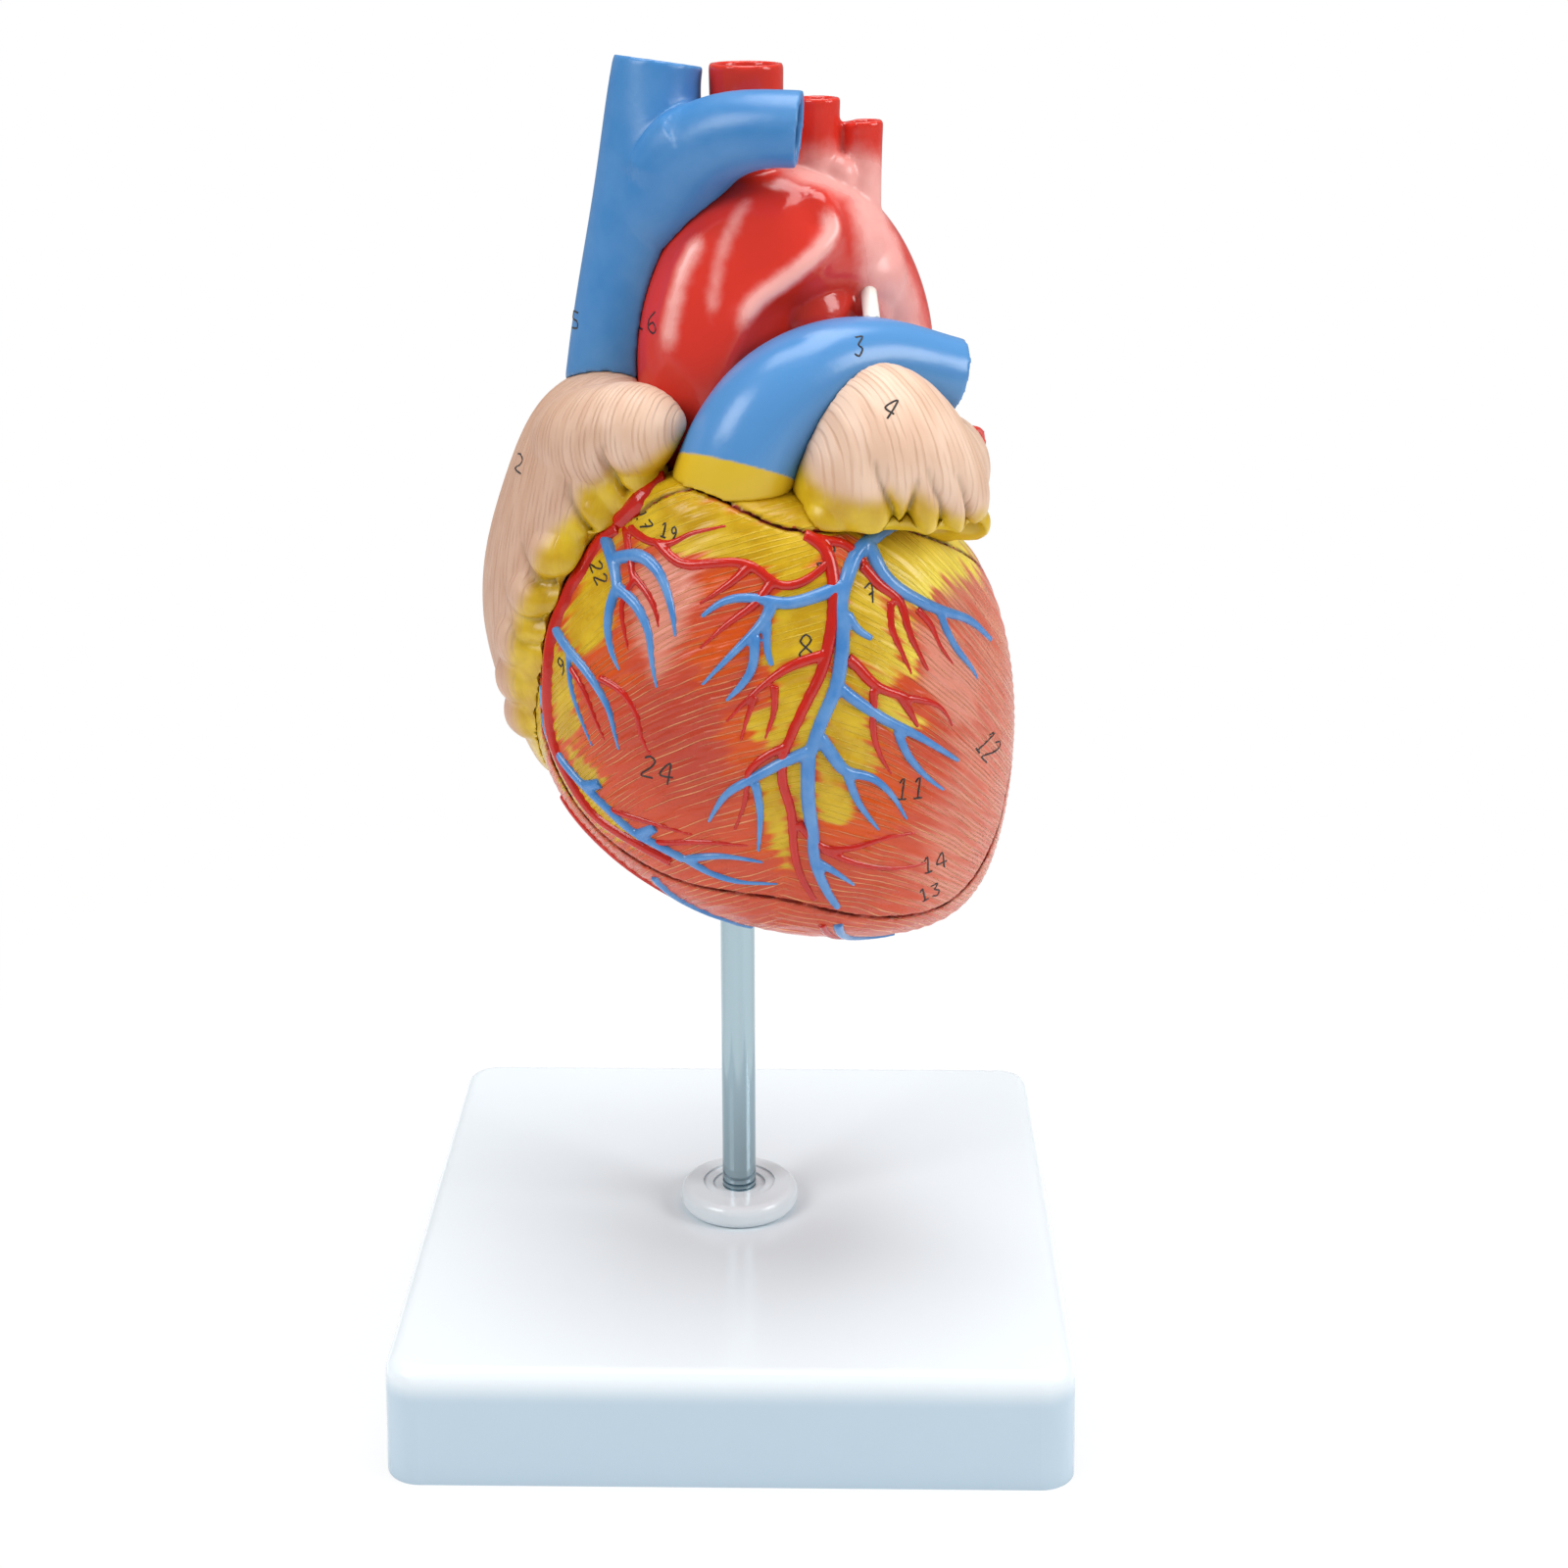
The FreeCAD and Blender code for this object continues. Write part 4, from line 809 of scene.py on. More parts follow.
def raise_bundles(piece, points, normals, outside):
    """Raises bundles of fibres along the lines of the muscle paint."""
    level = points @ np.array(VIEW_UP)
    along = (GROOVE_TOP - GROOVE_FOOT).normalized()
    offset = points - np.array(GROOVE_FOOT) / MM
    share = ease(offset[:, 0] * along.z - offset[:, 2] * along.x, -2, 2)
    waves = []
    for fibres in (FIBRES_LEFT, FIBRES_RIGHT):
        side = points[:, 0] * MM - fibres["Start"]
        rise = (fibres["Twist"] * side * side + fibres["Slope"]) * side / MM
        rise *= 1 + fibres["Fan"] * (level * MM - FAN_LEVEL)
        across = (level + rise) / (relief().bundle_pitch / MM) + 0.35 * np.sin(points[:, 0] * 0.31)
        waves.append(np.sin(across * 2 * math.pi + 0.8 * np.sin(points[:, 0] * 0.17 + across)))
    wave = waves[0] * (1 - share) + waves[1] * share
    move_along(piece, normals, relief().bundle_height / MM * wave * outside)


def raise_beams(piece, lining):
    """Raises the muscle beams that line the chambers."""
    points, normals = places(piece)
    turn = points @ np.array([[0.8, 0.3, 0.5], [-0.4, 0.9, 0.2], [-0.4, -0.3, 0.85]])
    waves = np.sin(turn[:, 0] * 1.1 + 1.6 * np.sin(turn[:, 1] * 0.31))
    waves += np.sin(turn[:, 2] * 0.9 + turn[:, 0] * 0.2)
    move_along(piece, normals, (relief().beam_depth / MM) * 0.35 * waves * lining)


class HEART_OT_walls(bpy.types.Operator):
    """Moulds and paints the front and rear walls of the heart"""

    bl_idname = PREFIX + "walls"
    bl_label = "Heart walls"

    def execute(self, context):
        front = cast("front_heart_wall", skin=0.7, rounds=3)
        rear = cast("rear_heart_wall", skin=0.85, rounds=3)
        walls = surface(front, rear)
        groove = surface(*(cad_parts[node] for node in GROOVE_NODES))
        material = muscle_material()
        for piece, body, node, other, rim in (
            (front, "front_wall", "front_heart_wall", surface(rear), 0.0),
            (rear, "heart", "rear_heart_wall", surface(front), 1.0),
        ):
            points, normals, lining, outside = paint_walls(piece, other, walls, groove, rim)
            raise_bundles(piece, points, normals, outside)
            raise_beams(piece, lining)
            settle(piece, body, "muscle", material, node)
        for node in PAPILLARY_MUSCLES:
            piece = cast(node, skin=0.4, rounds=3)
            store(piece, "lining", np.ones(len(piece.data.vertices)))
            settle(piece, "heart", "muscle", material, node)
        return {"FINISHED"}


# ---------------------------------------------------------------- atria

RIGHT_FAT = (
    ((-8, 222), (-13.5, 218.5), (-19.5, 214.5), (-24.5, 213.5), (-28, 211), (-31.5, 209.5), (-33, 204.5),
     (-37, 200.5), (-40.5, 196), (-42, 192), (-43, 188), (-46.5, 181), (-47.5, 175), (-48.5, 168),
     (-48, 155), (-45, 144), (-41, 136), (-30, 165), (-22, 196), (-10, 204), (-2, 215)),
)
# Creases between the lobes: strength, then (x, z) points.
RIGHT_CREASES = (
    (1.0, (-21.8, 208.5), (-23.3, 210.4), (-25.4, 214.2), (-26.4, 217.3), (-26.1, 219.8)),
    (1.0, (-29.2, 197.7), (-29.4, 200), (-31.8, 203.5), (-33.6, 207.2), (-34.1, 210.4)),
    (0.9, (-33.4, 190), (-37.2, 188.8), (-41.6, 189.2), (-44.3, 192.9), (-45.1, 196.4)),
    (0.6, (-38.4, 180.9), (-42.5, 179.9), (-46.3, 180.5), (-48.6, 183.5), (-49.6, 186.1)),
    (0.35, (-40.8, 174.7), (-45, 175), (-47, 176.6), (-48.2, 179.5)),
    (0.2, (-42, 167), (-45, 165.5), (-47, 166.5)),
    (0.2, (-43, 158), (-45.5, 157), (-47, 158)),
)
LEFT_FAT = (
    ((10, 224), (13.2, 222), (14.4, 217.5), (17, 213.6), (21, 211.6), (27, 210.6), (31.6, 210.8),
     (32.9, 213.2), (35, 211.3), (37.1, 209.7), (38.1, 213), (40.8, 210.7), (44, 208.1), (47.2, 206.5),
     (50.9, 204.9), (52.4, 206.5), (58, 204), (58, 192), (10, 192)),
)
LEFT_CREASES = (
    (1.0, (33.5, 203), (33.7, 207.5), (32.4, 211.3), (30.8, 215), (29.7, 218.7)),
    (1.0, (36.7, 204), (37.6, 209.7), (38.1, 212.3), (38.6, 215)),
    (1.0, (44.2, 202), (44.6, 206.5), (44, 209.7), (42.3, 212.9), (40.7, 217.1)),
    (1.0, (50.4, 202), (50.4, 206.5), (48.9, 211.3), (47.2, 215)),
)
# Webs that join the left atrium to the lip of its way into the ventricle: radius and middle, in
# millimetres.
ATRIUM_WEBS = (
    (2.8, (25.5, 32.3, 182)), (3, (28, 31.9, 181.3)), (3.2, (30.5, 31, 181.3)), (3.3, (32.7, 29.9, 181.9)),
    (3.3, (34.7, 28.6, 182.7)), (3.3, (36.3, 27.1, 183.8)), (3.2, (37.3, 25.4, 185.5)),
     (3, (38, 23.6, 187.6)),
)


def crease(piece, routes, notch):
    """Presses creases into a piece that fade along their routes, notches its edge where they start, and
    keeps a mask of painted shade in the creases.
    """
    points, normals = places(piece)
    tree = surface(piece)
    width = relief().crease_width / MM
    heights, dark = np.zeros(len(points)), np.zeros(len(points))
    for strength, *route in routes:
        gaps, shares = near_route(points, tree, route)
        profile = np.exp(-((gaps / width) ** 2)) + np.exp(-((gaps / width / 2.6) ** 2))
        depth = strength * (1 - 0.85 * shares) * relief().crease_depth / MM
        heights = np.minimum(heights, -profile * depth)
        foot = np.linalg.norm(points - np.array(drop(tree, *route[0])[0]), axis=1)
        heights -= strength * notch * np.exp(-((foot / 2.4) ** 2))
        # Painted shade in the creases, strongest where they start and on faces turned to the front.
        dark = np.maximum(dark, strength * np.exp(-((gaps / width * 1.6) ** 2)) * (1 - 0.7 * shares))
    move_along(piece, normals, heights)
    store(piece, "crease", dark * ease(-normals[:, 1], -0.1, 0.3))


class HEART_OT_atria(bpy.types.Operator):
    """Moulds the atria, their auricles and the lobes of fat on them"""

    bl_idname = PREFIX + "atria"
    bl_label = "Atria and auricles"

    def execute(self, context):
        material = atrium_material()
        for node, outlines, creases, notch, webs in (
            ("right_atrium", RIGHT_FAT, RIGHT_CREASES, 0.5, ()),
            ("left_auricle", LEFT_FAT, LEFT_CREASES, 2.2, ()),
            ("left_atrium", (), (), 0, ATRIUM_WEBS),
        ):
            piece = cast(node, skin=0.55, rounds=4, webs=webs)
            points, normals = places(piece)
            fat = patches(points, outlines, softness=3.2) * ease(-normals[:, 1], -0.5, 0.0)
            store(piece, "fat", fat)
            offset = points - np.array(FAN_AXIS) / MM
            turn = np.arctan2(offset[:, 0], -offset[:, 1]) * (FAN_REACH / relief().fold_pitch) / 2
            wave = np.sin(turn * 2 * math.pi + 1.2 * np.sin(points[:, 2] * 0.23)) * (1 - fat)
            move_along(piece, normals, relief().fold_height / MM * wave)
            if creases:
                crease(piece, creases, notch)
            settle(piece, "heart", "atrium_flesh", material, node)
        return {"FINISHED"}


# ---------------------------------------------------------------- great vessels

ARCH_NODES = ("aorta", "brachiocephalic_trunk", "left_carotid_artery", "left_subclavian_artery")
CAVA_NODES = ("superior_vena_cava", "brachiocephalic_vein")
LUNG_VEIN_NODES = (
    "left_upper_pulmonary_vein", "left_lower_pulmonary_vein", "right_upper_pulmonary_vein",
    "right_lower_pulmonary_vein",
)
# The yellow root of the pulmonary trunk ends on a plane through these points.
ROOT_LINE = ((-9, -27.8, 218.4), (1.7, -34.8, 218.0), (12.1, -29.7, 213.8))
# Chalky bloom down the right side of the arch, from the feet of its branches: (x, z) points.
BLOOM_ROUTE = ((17, 273), (23, 272.5), (27.4, 270.3), (29.1, 264.3), (31.6, 256.5), (34.3, 248),
               (36.2, 241), (38, 233))
# Painted highlights: light strokes brushed along the ridges: strength and half-width, then (x, z) points.
BLOOM_STROKES = (
    (0.95, 2.3, ((17.8, 267.5), (20.9, 261), (17.1, 256.2), (11, 251.3), (5.9, 248), (3, 244.5), (1, 238))),
    (0.7, 2.4, ((-5.3, 262.5), (-9.4, 254.8), (-11.9, 246.9), (-13.2, 240.5), (-13, 234))),
    (0.5, 2.0, ((4.8, 269.5), (0.4, 262.4), (-2.2, 255.7), (-3.6, 248.9), (-4.5, 240))),
)
# Webs that fill the hollow under the arch: radius and middle, in millimetres.
ARCH_WEBS = ((11.9, (15, 4, 241.5)), (9, (25, 8, 242)), (11, (26.5, 11.5, 249)), (4.4, (22.4, 9.4, 270.5)))
# Raised ridges on the front of the arch: height and half-width, then (x, z) points, all in millimetres.
ARCH_RIDGES = (
    (2.2, 3.2, ((14.3, 270.5), (17.8, 267.3), (20.9, 261), (17.1, 256.2), (11, 251.3), (5.9, 248),
                (2.5, 243.5), (0, 236), (-3, 224))),
    (1.4, 3.2, ((-4, 264), (-9.4, 254.8), (-11.9, 246.9), (-13.2, 240.5), (-11, 228))),
)
# The same for the angle between the caval vein and the vein of the arm.
CAVA_RIDGES = (
    (1.5, 4.4, ((-20.5, 270), (-19, 274.5), (-17.5, 277.5), (-15.5, 280.4), (-13, 283), (-10, 284.5))),
)


def raise_ridges(piece, ridges):
    """Raises round ridges on a piece along their routes and returns its points."""
    points, normals = places(piece)
    tree = surface(piece)
    rise = np.zeros(len(points))
    for height, width, route in ridges:
        gaps, shares = near_route(points, tree, route)
        ends = ease(shares, 0.0, 0.2) * ease(-shares, -1.0, -0.7)
        rise += height * np.exp(-((gaps / width) ** 2)) * ends
    move_along(piece, normals, rise)
    return places(piece)[0]


class HEART_OT_great_vessels(bpy.types.Operator):
    """Moulds and paints the aorta, the pulmonary trunk, the caval veins and their branches"""

    bl_idname = PREFIX + "great_vessels"
    bl_label = "Great vessels"

    def arch(self, material):
        """The aorta and its branches, run together, with the ridge on its front, a chalky pink zone and
        painted highlight strokes.
        """
        piece = cast(ARCH_NODES, skin=0.6, rounds=5, webs=ARCH_WEBS)
        points = raise_ridges(piece, ARCH_RIDGES)
        tree = surface(piece)
        reach, shares = near_route(points, tree, BLOOM_ROUTE)
        bloom = ease(-reach, -13, -2) * (0.9 - 0.15 * shares) * ease(-points[:, 2], -283, -269)
        # Painted highlights: light strokes along the ridges, in the same mask as the chalky pink.
        for strength, width, route in BLOOM_STROKES:
            gaps, shares = near_route(points, tree, route)
            ends = ease(shares, 0.0, 0.15) * ease(-shares, -1.0, -0.75)
            bloom = np.maximum(bloom, strength * np.exp(-((gaps / width) ** 2)) * ends)
        store(piece, "bloom", bloom)
        settle(piece, "heart", "artery_red", material, *ARCH_NODES)

    def trunk(self, material):
        """The pulmonary trunk with its yellow root, and the artery to the right lung."""
        first, second, third = (np.array(p, float) for p in ROOT_LINE)
        up = np.cross(second - first, third - first)
        up /= np.linalg.norm(up) * np.sign(up[2])
        for node in ("pulmonary_trunk", "right_pulmonary_artery"):
            piece = cast(node, skin=0.6, rounds=4)
            above = (places(piece)[0] - first) @ up
            store(piece, "root", ease(-above, -0.4, 0.4))
            settle(piece, "heart", "trunk_blue", material, node)

    def execute(self, context):
        colours = paints()
        red = vessel_material(
            "artery_gloss", colours.artery, colours.artery_bloom, roughness=(0.17, 0.3), mask="bloom"
        )
        blue = vessel_material("vein_gloss", colours.vein, colours.rim, roughness=(0.34, 0.44))
        root = tuple((a + b) / 2 for a, b in zip(colours.fat, colours.fat_light))
        sky = vessel_material("trunk_gloss", colours.trunk, root, mask="root")
        white = vessel_material("ligament_gloss", colours.ligament, colours.leaflet)
        self.arch(red)
        self.trunk(sky)
        for node in LUNG_VEIN_NODES:
            piece = cast(node, skin=0.5, rounds=3)
            store(piece, "bloom", np.full(len(piece.data.vertices), 0.1))
            settle(piece, "heart", "artery_red", red, node)
        cava = cast(CAVA_NODES, skin=0.55, rounds=8)
        raise_ridges(cava, CAVA_RIDGES)
        settle(cava, "heart", "vein_blue", blue, *CAVA_NODES)
        for node, skin, rounds, slot, material in (
            ("inferior_vena_cava", 0.6, 3, "vein_blue", blue),
            ("arterial_ligament", 0.3, 2, "ligament_white", white),
        ):
            settle(cast(node, skin, rounds), "heart", slot, material, node)
        return {"FINISHED"}


# ---------------------------------------------------------------- vessels on the surface

# Each run: radius at its start and end, then (x, z) points in millimetres on the wall.
GREAT_VEIN = (
    (1.5, 1.25, (34, 203), (31, 202), (26.5, 199.5), (24.5, 195.5), (23, 190.5), (23.5, 183.5), (23, 177),
     (22, 172.5), (19, 165.5), (17.5, 161), (16.5, 158)),
    (1.4, 0.7, (16.5, 158), (16.5, 149), (17.5, 141), (18, 134), (20.5, 126.5), (23, 121.5)),
    (1.3, 0.4, (23, 193.5), (17, 191.5), (11.5, 190.5), (7, 191.5), (1, 191.5), (-2.5, 190), (-5.5, 187.5)),
    (1.2, 0.3, (9, 191), (8, 188), (5.5, 185), (0, 179.5), (-5.5, 173.5)),
    (1.0, 0.3, (5.5, 184), (5, 177.5), (2, 173), (-0.5, 170.5)),
    (0.8, 0.5, (8, 187), (8, 181), (9, 178)),
    (0.9, 0.6, (24.5, 188), (26.5, 184.5), (29.5, 182.5)),
    (1.5, 0.6, (29, 200), (32, 194.5), (36.5, 190.5), (43.5, 186), (50.5, 182), (55.5, 176)),
    (0.9, 0.3, (43.5, 186), (46.5, 179), (50.5, 173), (52.5, 169.5)),
    (1.2, 0.4, (23, 173), (27.5, 169), (33.5, 164.5), (39, 161), (44.5, 156.5), (48.5, 153)),
    (0.9, 0.3, (35, 162.5), (37.5, 156.5), (41.5, 151), (45.5, 147)),
    (1.3, 0.3, (19, 162.5), (22.5, 157), (24.5, 154.5), (29.5, 153), (34, 148.5), (37.5, 142)),
    (0.9, 0.3, (24.5, 154.5), (27, 147.5), (31.5, 140.5)),
    (1.2, 0.3, (17.5, 160), (11.5, 157.5), (5.5, 154), (0, 150.5), (-2.5, 147), (-4.5, 143)),
    (0.9, 0.3, (5.5, 152.5), (6.5, 146), (6, 136.5)),
    (0.9, 0.3, (18.5, 134), (22, 131.5), (26.5, 127.5)),
)
ANTERIOR_VEINS = (
    (1.5, 1.2, (-27.5, 201), (-25.5, 197.5), (-24, 194.5), (-23.5, 191)),
    (1.4, 0.3, (-24.5, 196), (-19, 198), (-15, 196), (-13, 192.5), (-11.5, 187.5), (-11, 183)),
    (1.2, 0.3, (-23.5, 191), (-25, 187), (-25.5, 182), (-24.5, 177.5), (-23, 174.5)),
    (1.2, 0.3, (-23.5, 191), (-20, 189), (-18, 186.5), (-16.5, 183), (-16, 177.5), (-15, 172)),
    (1.2, 0.3, (-39.5, 181), (-35, 176.5), (-31, 173.5), (-28, 170), (-25.5, 166), (-24.5, 161.5),
     (-23.5, 157)),
    (0.7, 0.3, (-34.5, 176), (-34, 168.5), (-32, 162.5), (-29.5, 156.5)),
    (1.1, 1.0, (-43, 166), (-41.5, 160), (-38.5, 152.5), (-33.5, 147.5), (-27, 142.5), (-21.5, 138),
     (-14.5, 135), (-10, 133)),
    (0.9, 0.3, (-10, 133), (-2, 135), (7, 134)),
    (0.9, 0.3, (-9.5, 133), (-4, 130), (2, 128.5), (10, 128.5)),
    (1.3, 1.0, (-31.5, 146), (-28, 148)),
    (1.3, 1.0, (-20, 137), (-16, 140)),
)
RIGHT_ARTERY = (
    (2.1, 1.3, (-22.9, 203.4), (-24.6, 201.4), (-27, 199), (-32.5, 191), (-36.3, 183.5), (-38.6, 177),
     (-39.6, 169), (-39.8, 161), (-38.6, 153), (-34, 144), (-29.5, 138.7), (-21.5, 135), (-13, 131.5)),
    (1.1, 0.8, (-21.8, 203.6), (-21.5, 200), (-20.5, 196), (-20, 193)),
    (1.0, 0.3, (-21, 202.5), (-18, 201), (-12, 201), (-8, 203.5), (-0.5, 205.5)),
    (1.1, 0.9, (-15, 201), (-10, 197.5), (-3.5, 198), (0.5, 198.5), (5, 198), (8, 195.5), (11, 194),
     (16, 195), (21, 198.5)),
    (1.1, 0.3, (4.5, 198), (0.5, 194.5), (-6, 190)),
    (1.1, 0.3, (9, 195), (5.5, 190.5), (0, 186.5), (-6, 181)),
    (0.8, 0.3, (-20, 193), (-22.5, 188), (-22, 183.5), (-21, 179)),
    (0.9, 0.3, (-20, 194), (-16.5, 190.5), (-15, 187.5), (-14.5, 184.5)),
    (0.9, 0.3, (-34, 172.5), (-31, 168.5), (-28.5, 162.5), (-26.5, 158.5)),
    (0.9, 0.3, (-27.5, 172), (-23, 170.5), (-19.5, 166), (-18.5, 160.5), (-16.5, 157)),
    (0.8, 0.3, (-26, 142), (-17, 141), (-8, 139.5)),
    (0.8, 0.3, (-16, 136), (-6, 138), (4, 138)),
)
DESCENDING_ARTERY = (
    (1.5, 1.0, (15.5, 203.5), (18, 202.5), (20.5, 199.5), (21.5, 195), (21.5, 188), (20.5, 181.5),
     (19, 176), (16.5, 171), (13.5, 164.5), (11.5, 159.5)),
    (1.1, 0.7, (11.5, 159.5), (11, 153.5), (13, 146), (13.5, 137.5), (15, 130.5), (18, 124)),
    (1.1, 1.0, (15.5, 203.5), (20.5, 202), (24.5, 201), (27.5, 197.5)),
    (1.3, 0.4, (27.5, 197), (31, 193), (35.5, 189), (37, 183.5), (39, 179), (41.5, 174)),
    (0.9, 0.3, (33.5, 189.5), (33.5, 184.5), (36, 178.5), (38, 174)),
    (0.8, 0.3, (39, 187), (42, 183.5), (43.5, 179.5), (47, 174)),
    (1.2, 0.3, (20, 180), (15.5, 179), (12, 177.5), (8.5, 175), (4, 171), (-0.5, 166)),
    (0.9, 0.3, (9.5, 174), (9.5, 168.5), (7.5, 162.5)),
    (0.7, 0.3, (5.5, 171.5), (4, 167.5), (2.5, 162)),
    (1.3, 0.8, (24.5, 179), (27.5, 176), (30.5, 172.5), (36.5, 169.5), (38, 168)),
    (1.0, 0.3, (30, 172), (30, 169), (30, 163), (31.5, 157.5), (34, 153)),
    (1.0, 0.4, (35.5, 170), (38, 165.5), (39.5, 162.5)),
    (0.8, 0.3, (37.5, 169), (42, 167.5), (45, 165), (47, 161)),
    (1.0, 0.3, (12.5, 161), (8, 159), (4, 155), (3.5, 149), (1, 141.5)),
    (1.0, 0.3, (14.5, 143.5), (19.5, 137.5), (26.5, 137), (33, 138.5), (39.5, 138.5)),
    (0.8, 0.3, (19.5, 137), (28, 132.5), (35.5, 130.5), (42, 130.5)),
)
BACK_ARTERY = (
    (1.7, 1.5, (-28, 197), (-12, 196), (0, 192)),
    (1.5, 0.6, (0, 192), (4, 178), (9, 160), (14, 142), (20, 126)),
    (0.9, 0.3, (3, 182), (-6, 174), (-14, 162)),
    (0.9, 0.3, (7, 166), (0, 156), (-6, 144)),
    (0.9, 0.3, (5, 174), (16, 166), (26, 154)),
)
# Stretches below the front wall's lower edge and above its top, on the rear wall.
LIP_ARTERY = (
    (1.1, 0.6, (-38.5, 137), (-33, 132), (-24, 124.5), (-13, 117.5)),
    (1.0, 0.5, (19.5, 116), (21, 111), (24, 107.5), (29, 105)),
    (2.5, 2.4, (-14, 213), (-16.6, 210.8), (-18.9, 208), (-20.9, 205.8), (-23.8, 202.4)),
)
LIP_VEIN = (
    (1.1, 0.7, (-17, 125), (-13, 119.5), (-5, 114), (4, 110)),
    (1.1, 0.5, (23, 116), (24, 110.5), (27, 107), (31, 105.5), (36, 106)),
)
SINUS = ((2.6, 2.0, (2, 196), (16, 197), (32, 194), (46, 188)),)
MIDDLE_VEIN = (
    (1.7, 0.6, (4, 195), (7, 180), (12, 162), (17, 144), (23, 128)),
    (0.9, 0.3, (9, 174), (20, 172), (30, 166)),
    (0.9, 0.3, (13, 158), (22, 150), (30, 140)),
    (0.9, 0.3, (11, 166), (2, 160), (-4, 150)),
)


def level_out(middles):
    """The points of a route with the ripples of the wall evened out."""
    for _ in range(3):
        triples = zip(middles, middles[1:], middles[2:])
        inner = [(before + 2 * middle + after) / 4 for before, middle, after in triples]
        middles = [middles[0], *inner, middles[-1]]
    return middles


def new_curve(name, radius, resolution):
    """An empty curve that draws round lines with closed ends."""
    curve = bpy.data.curves.new(name, "CURVE")
    curve.dimensions = "3D"
    curve.bevel_depth = radius
    curve.bevel_resolution = resolution
    curve.use_fill_caps = True
    return curve


def add_line(curve, middles, radii):
    """Adds a line through points in millimetres, with a factor on the curve's radius at each."""
    spline = curve.splines.new("POLY")
    spline.points.add(len(middles) - 1)
    for point, middle, radius in zip(spline.points, middles, radii):
        point.co = (*(middle * MM), 1)
        point.radius = radius


def mould_vessels(name, runs, wall, sink, girth, front=True):
    """Tubes that lie half sunk along the wall, run together as one moulding."""
    curve = new_curve(name, MM, 3)
    for start, end, *route in runs:
        spots, shares = spread(route, 1.0)
        radii = [girth * (start + (end - start) * share ** 1.6) for share in shares]
        middles = []
        for spot, radius in zip(spots, radii):
            met, normal = drop(wall, *spot, front)
            middles.append(met - normal * (sink * radius))
        add_line(curve, level_out(middles), radii)
    rough = link(bpy.data.objects.new(name + "_curve", curve))
    return even_skin(as_mesh(rough, name + "_tubes"), name, relief().vessel_skin, 2)


class HEART_OT_surface_vessels(bpy.types.Operator):
    """Lays the coronary arteries and the veins of the heart on its walls"""

    bl_idname = PREFIX + "surface_vessels"
    bl_label = "Coronary vessels"

    def execute(self, context):
        colours = paints()
        red, blue = (
            vessel_material(name, colour, second, grain=5, roughness=roughness, bump=0.15, worn=worn)
            for name, colour, second, roughness, worn in (
                ("coronary_gloss", colours.coronary, colours.coronary_dark, (0.18, 0.28), 0.35),
                ("cardiac_vein_gloss", colours.cardiac_vein, colours.rim, (0.2, 0.3), 0.3),
            )
        )
        front = surface(bpy.data.objects["front_heart_wall_cast"])
        rear = surface(bpy.data.objects["rear_heart_wall_cast"])
        arteries, veins = (red, "coronary_red", 0.35), (blue, "coronary_blue", 0.2)
        for node, runs, (material, slot, sink), girth, ahead in (
            ("right_coronary_artery", RIGHT_ARTERY, arteries, 1.12, True),
            ("anterior_descending_artery", DESCENDING_ARTERY, arteries, 1.12, True),
            ("great_cardiac_vein", GREAT_VEIN, veins, 1.18, True),
            ("anterior_cardiac_vein", ANTERIOR_VEINS, veins, 1.18, True),
            ("posterior_descending_artery", BACK_ARTERY, arteries, 1.1, False),
            ("coronary_sinus", SINUS, veins, 1.0, False),
            ("middle_cardiac_vein", MIDDLE_VEIN, veins, 1.1, False),
        ):
            wall, body = (front, "front_wall") if ahead else (rear, "heart")
            piece = mould_vessels(node + "_relief", runs, wall, sink, girth, ahead)
            settle(piece, body, slot, material, node)
        for name, runs, (material, slot, sink) in (
            ("lip_artery", LIP_ARTERY, arteries),
            ("lip_vein", LIP_VEIN, veins),
        ):
            settle(mould_vessels(name, runs, rear, sink, 1.1), "heart", slot, material)
        return {"FINISHED"}


# ---------------------------------------------------------------- key numbers

# Strokes of each digit, as (across, up) shares of its width and height.
STROKES = {
    "1": (((0.2, 0.8), (0.5, 1), (0.5, 0)), ((0.2, 0), (0.85, 0.02))),
    "2": (((0.05, 0.85), (0.4, 1), (0.8, 0.85), (0.6, 0.5), (0.05, 0.02), (0.9, 0.05)),),
    "3": (((0.1, 0.95), (0.8, 0.95), (0.4, 0.58), (0.8, 0.35), (0.5, 0), (0.05, 0.12)),),
    "4": (((0.75, 0), (0.6, 1), (0.05, 0.35), (1, 0.4)),),
    "5": (((0.85, 1), (0.25, 0.95), (0.15, 0.55), (0.7, 0.5), (0.75, 0.15), (0.1, 0)),),
    "6": (((0.7, 1), (0.2, 0.6), (0.1, 0.2), (0.5, 0), (0.8, 0.25), (0.5, 0.5), (0.15, 0.3)),),
    "7": (((0.1, 0.95), (0.85, 1), (0.4, 0)), ((0.3, 0.5), (0.8, 0.55))),
    "8": (
        ((0.5, 0.52), (0.15, 0.75), (0.5, 1), (0.85, 0.78), (0.5, 0.52), (0.1, 0.25), (0.5, 0), (0.9, 0.25),
         (0.5, 0.52)),
    ),
    "9": (((0.75, 0.75), (0.4, 1), (0.15, 0.7), (0.45, 0.5), (0.75, 0.75), (0.65, 0.3), (0.4, 0)),),
}
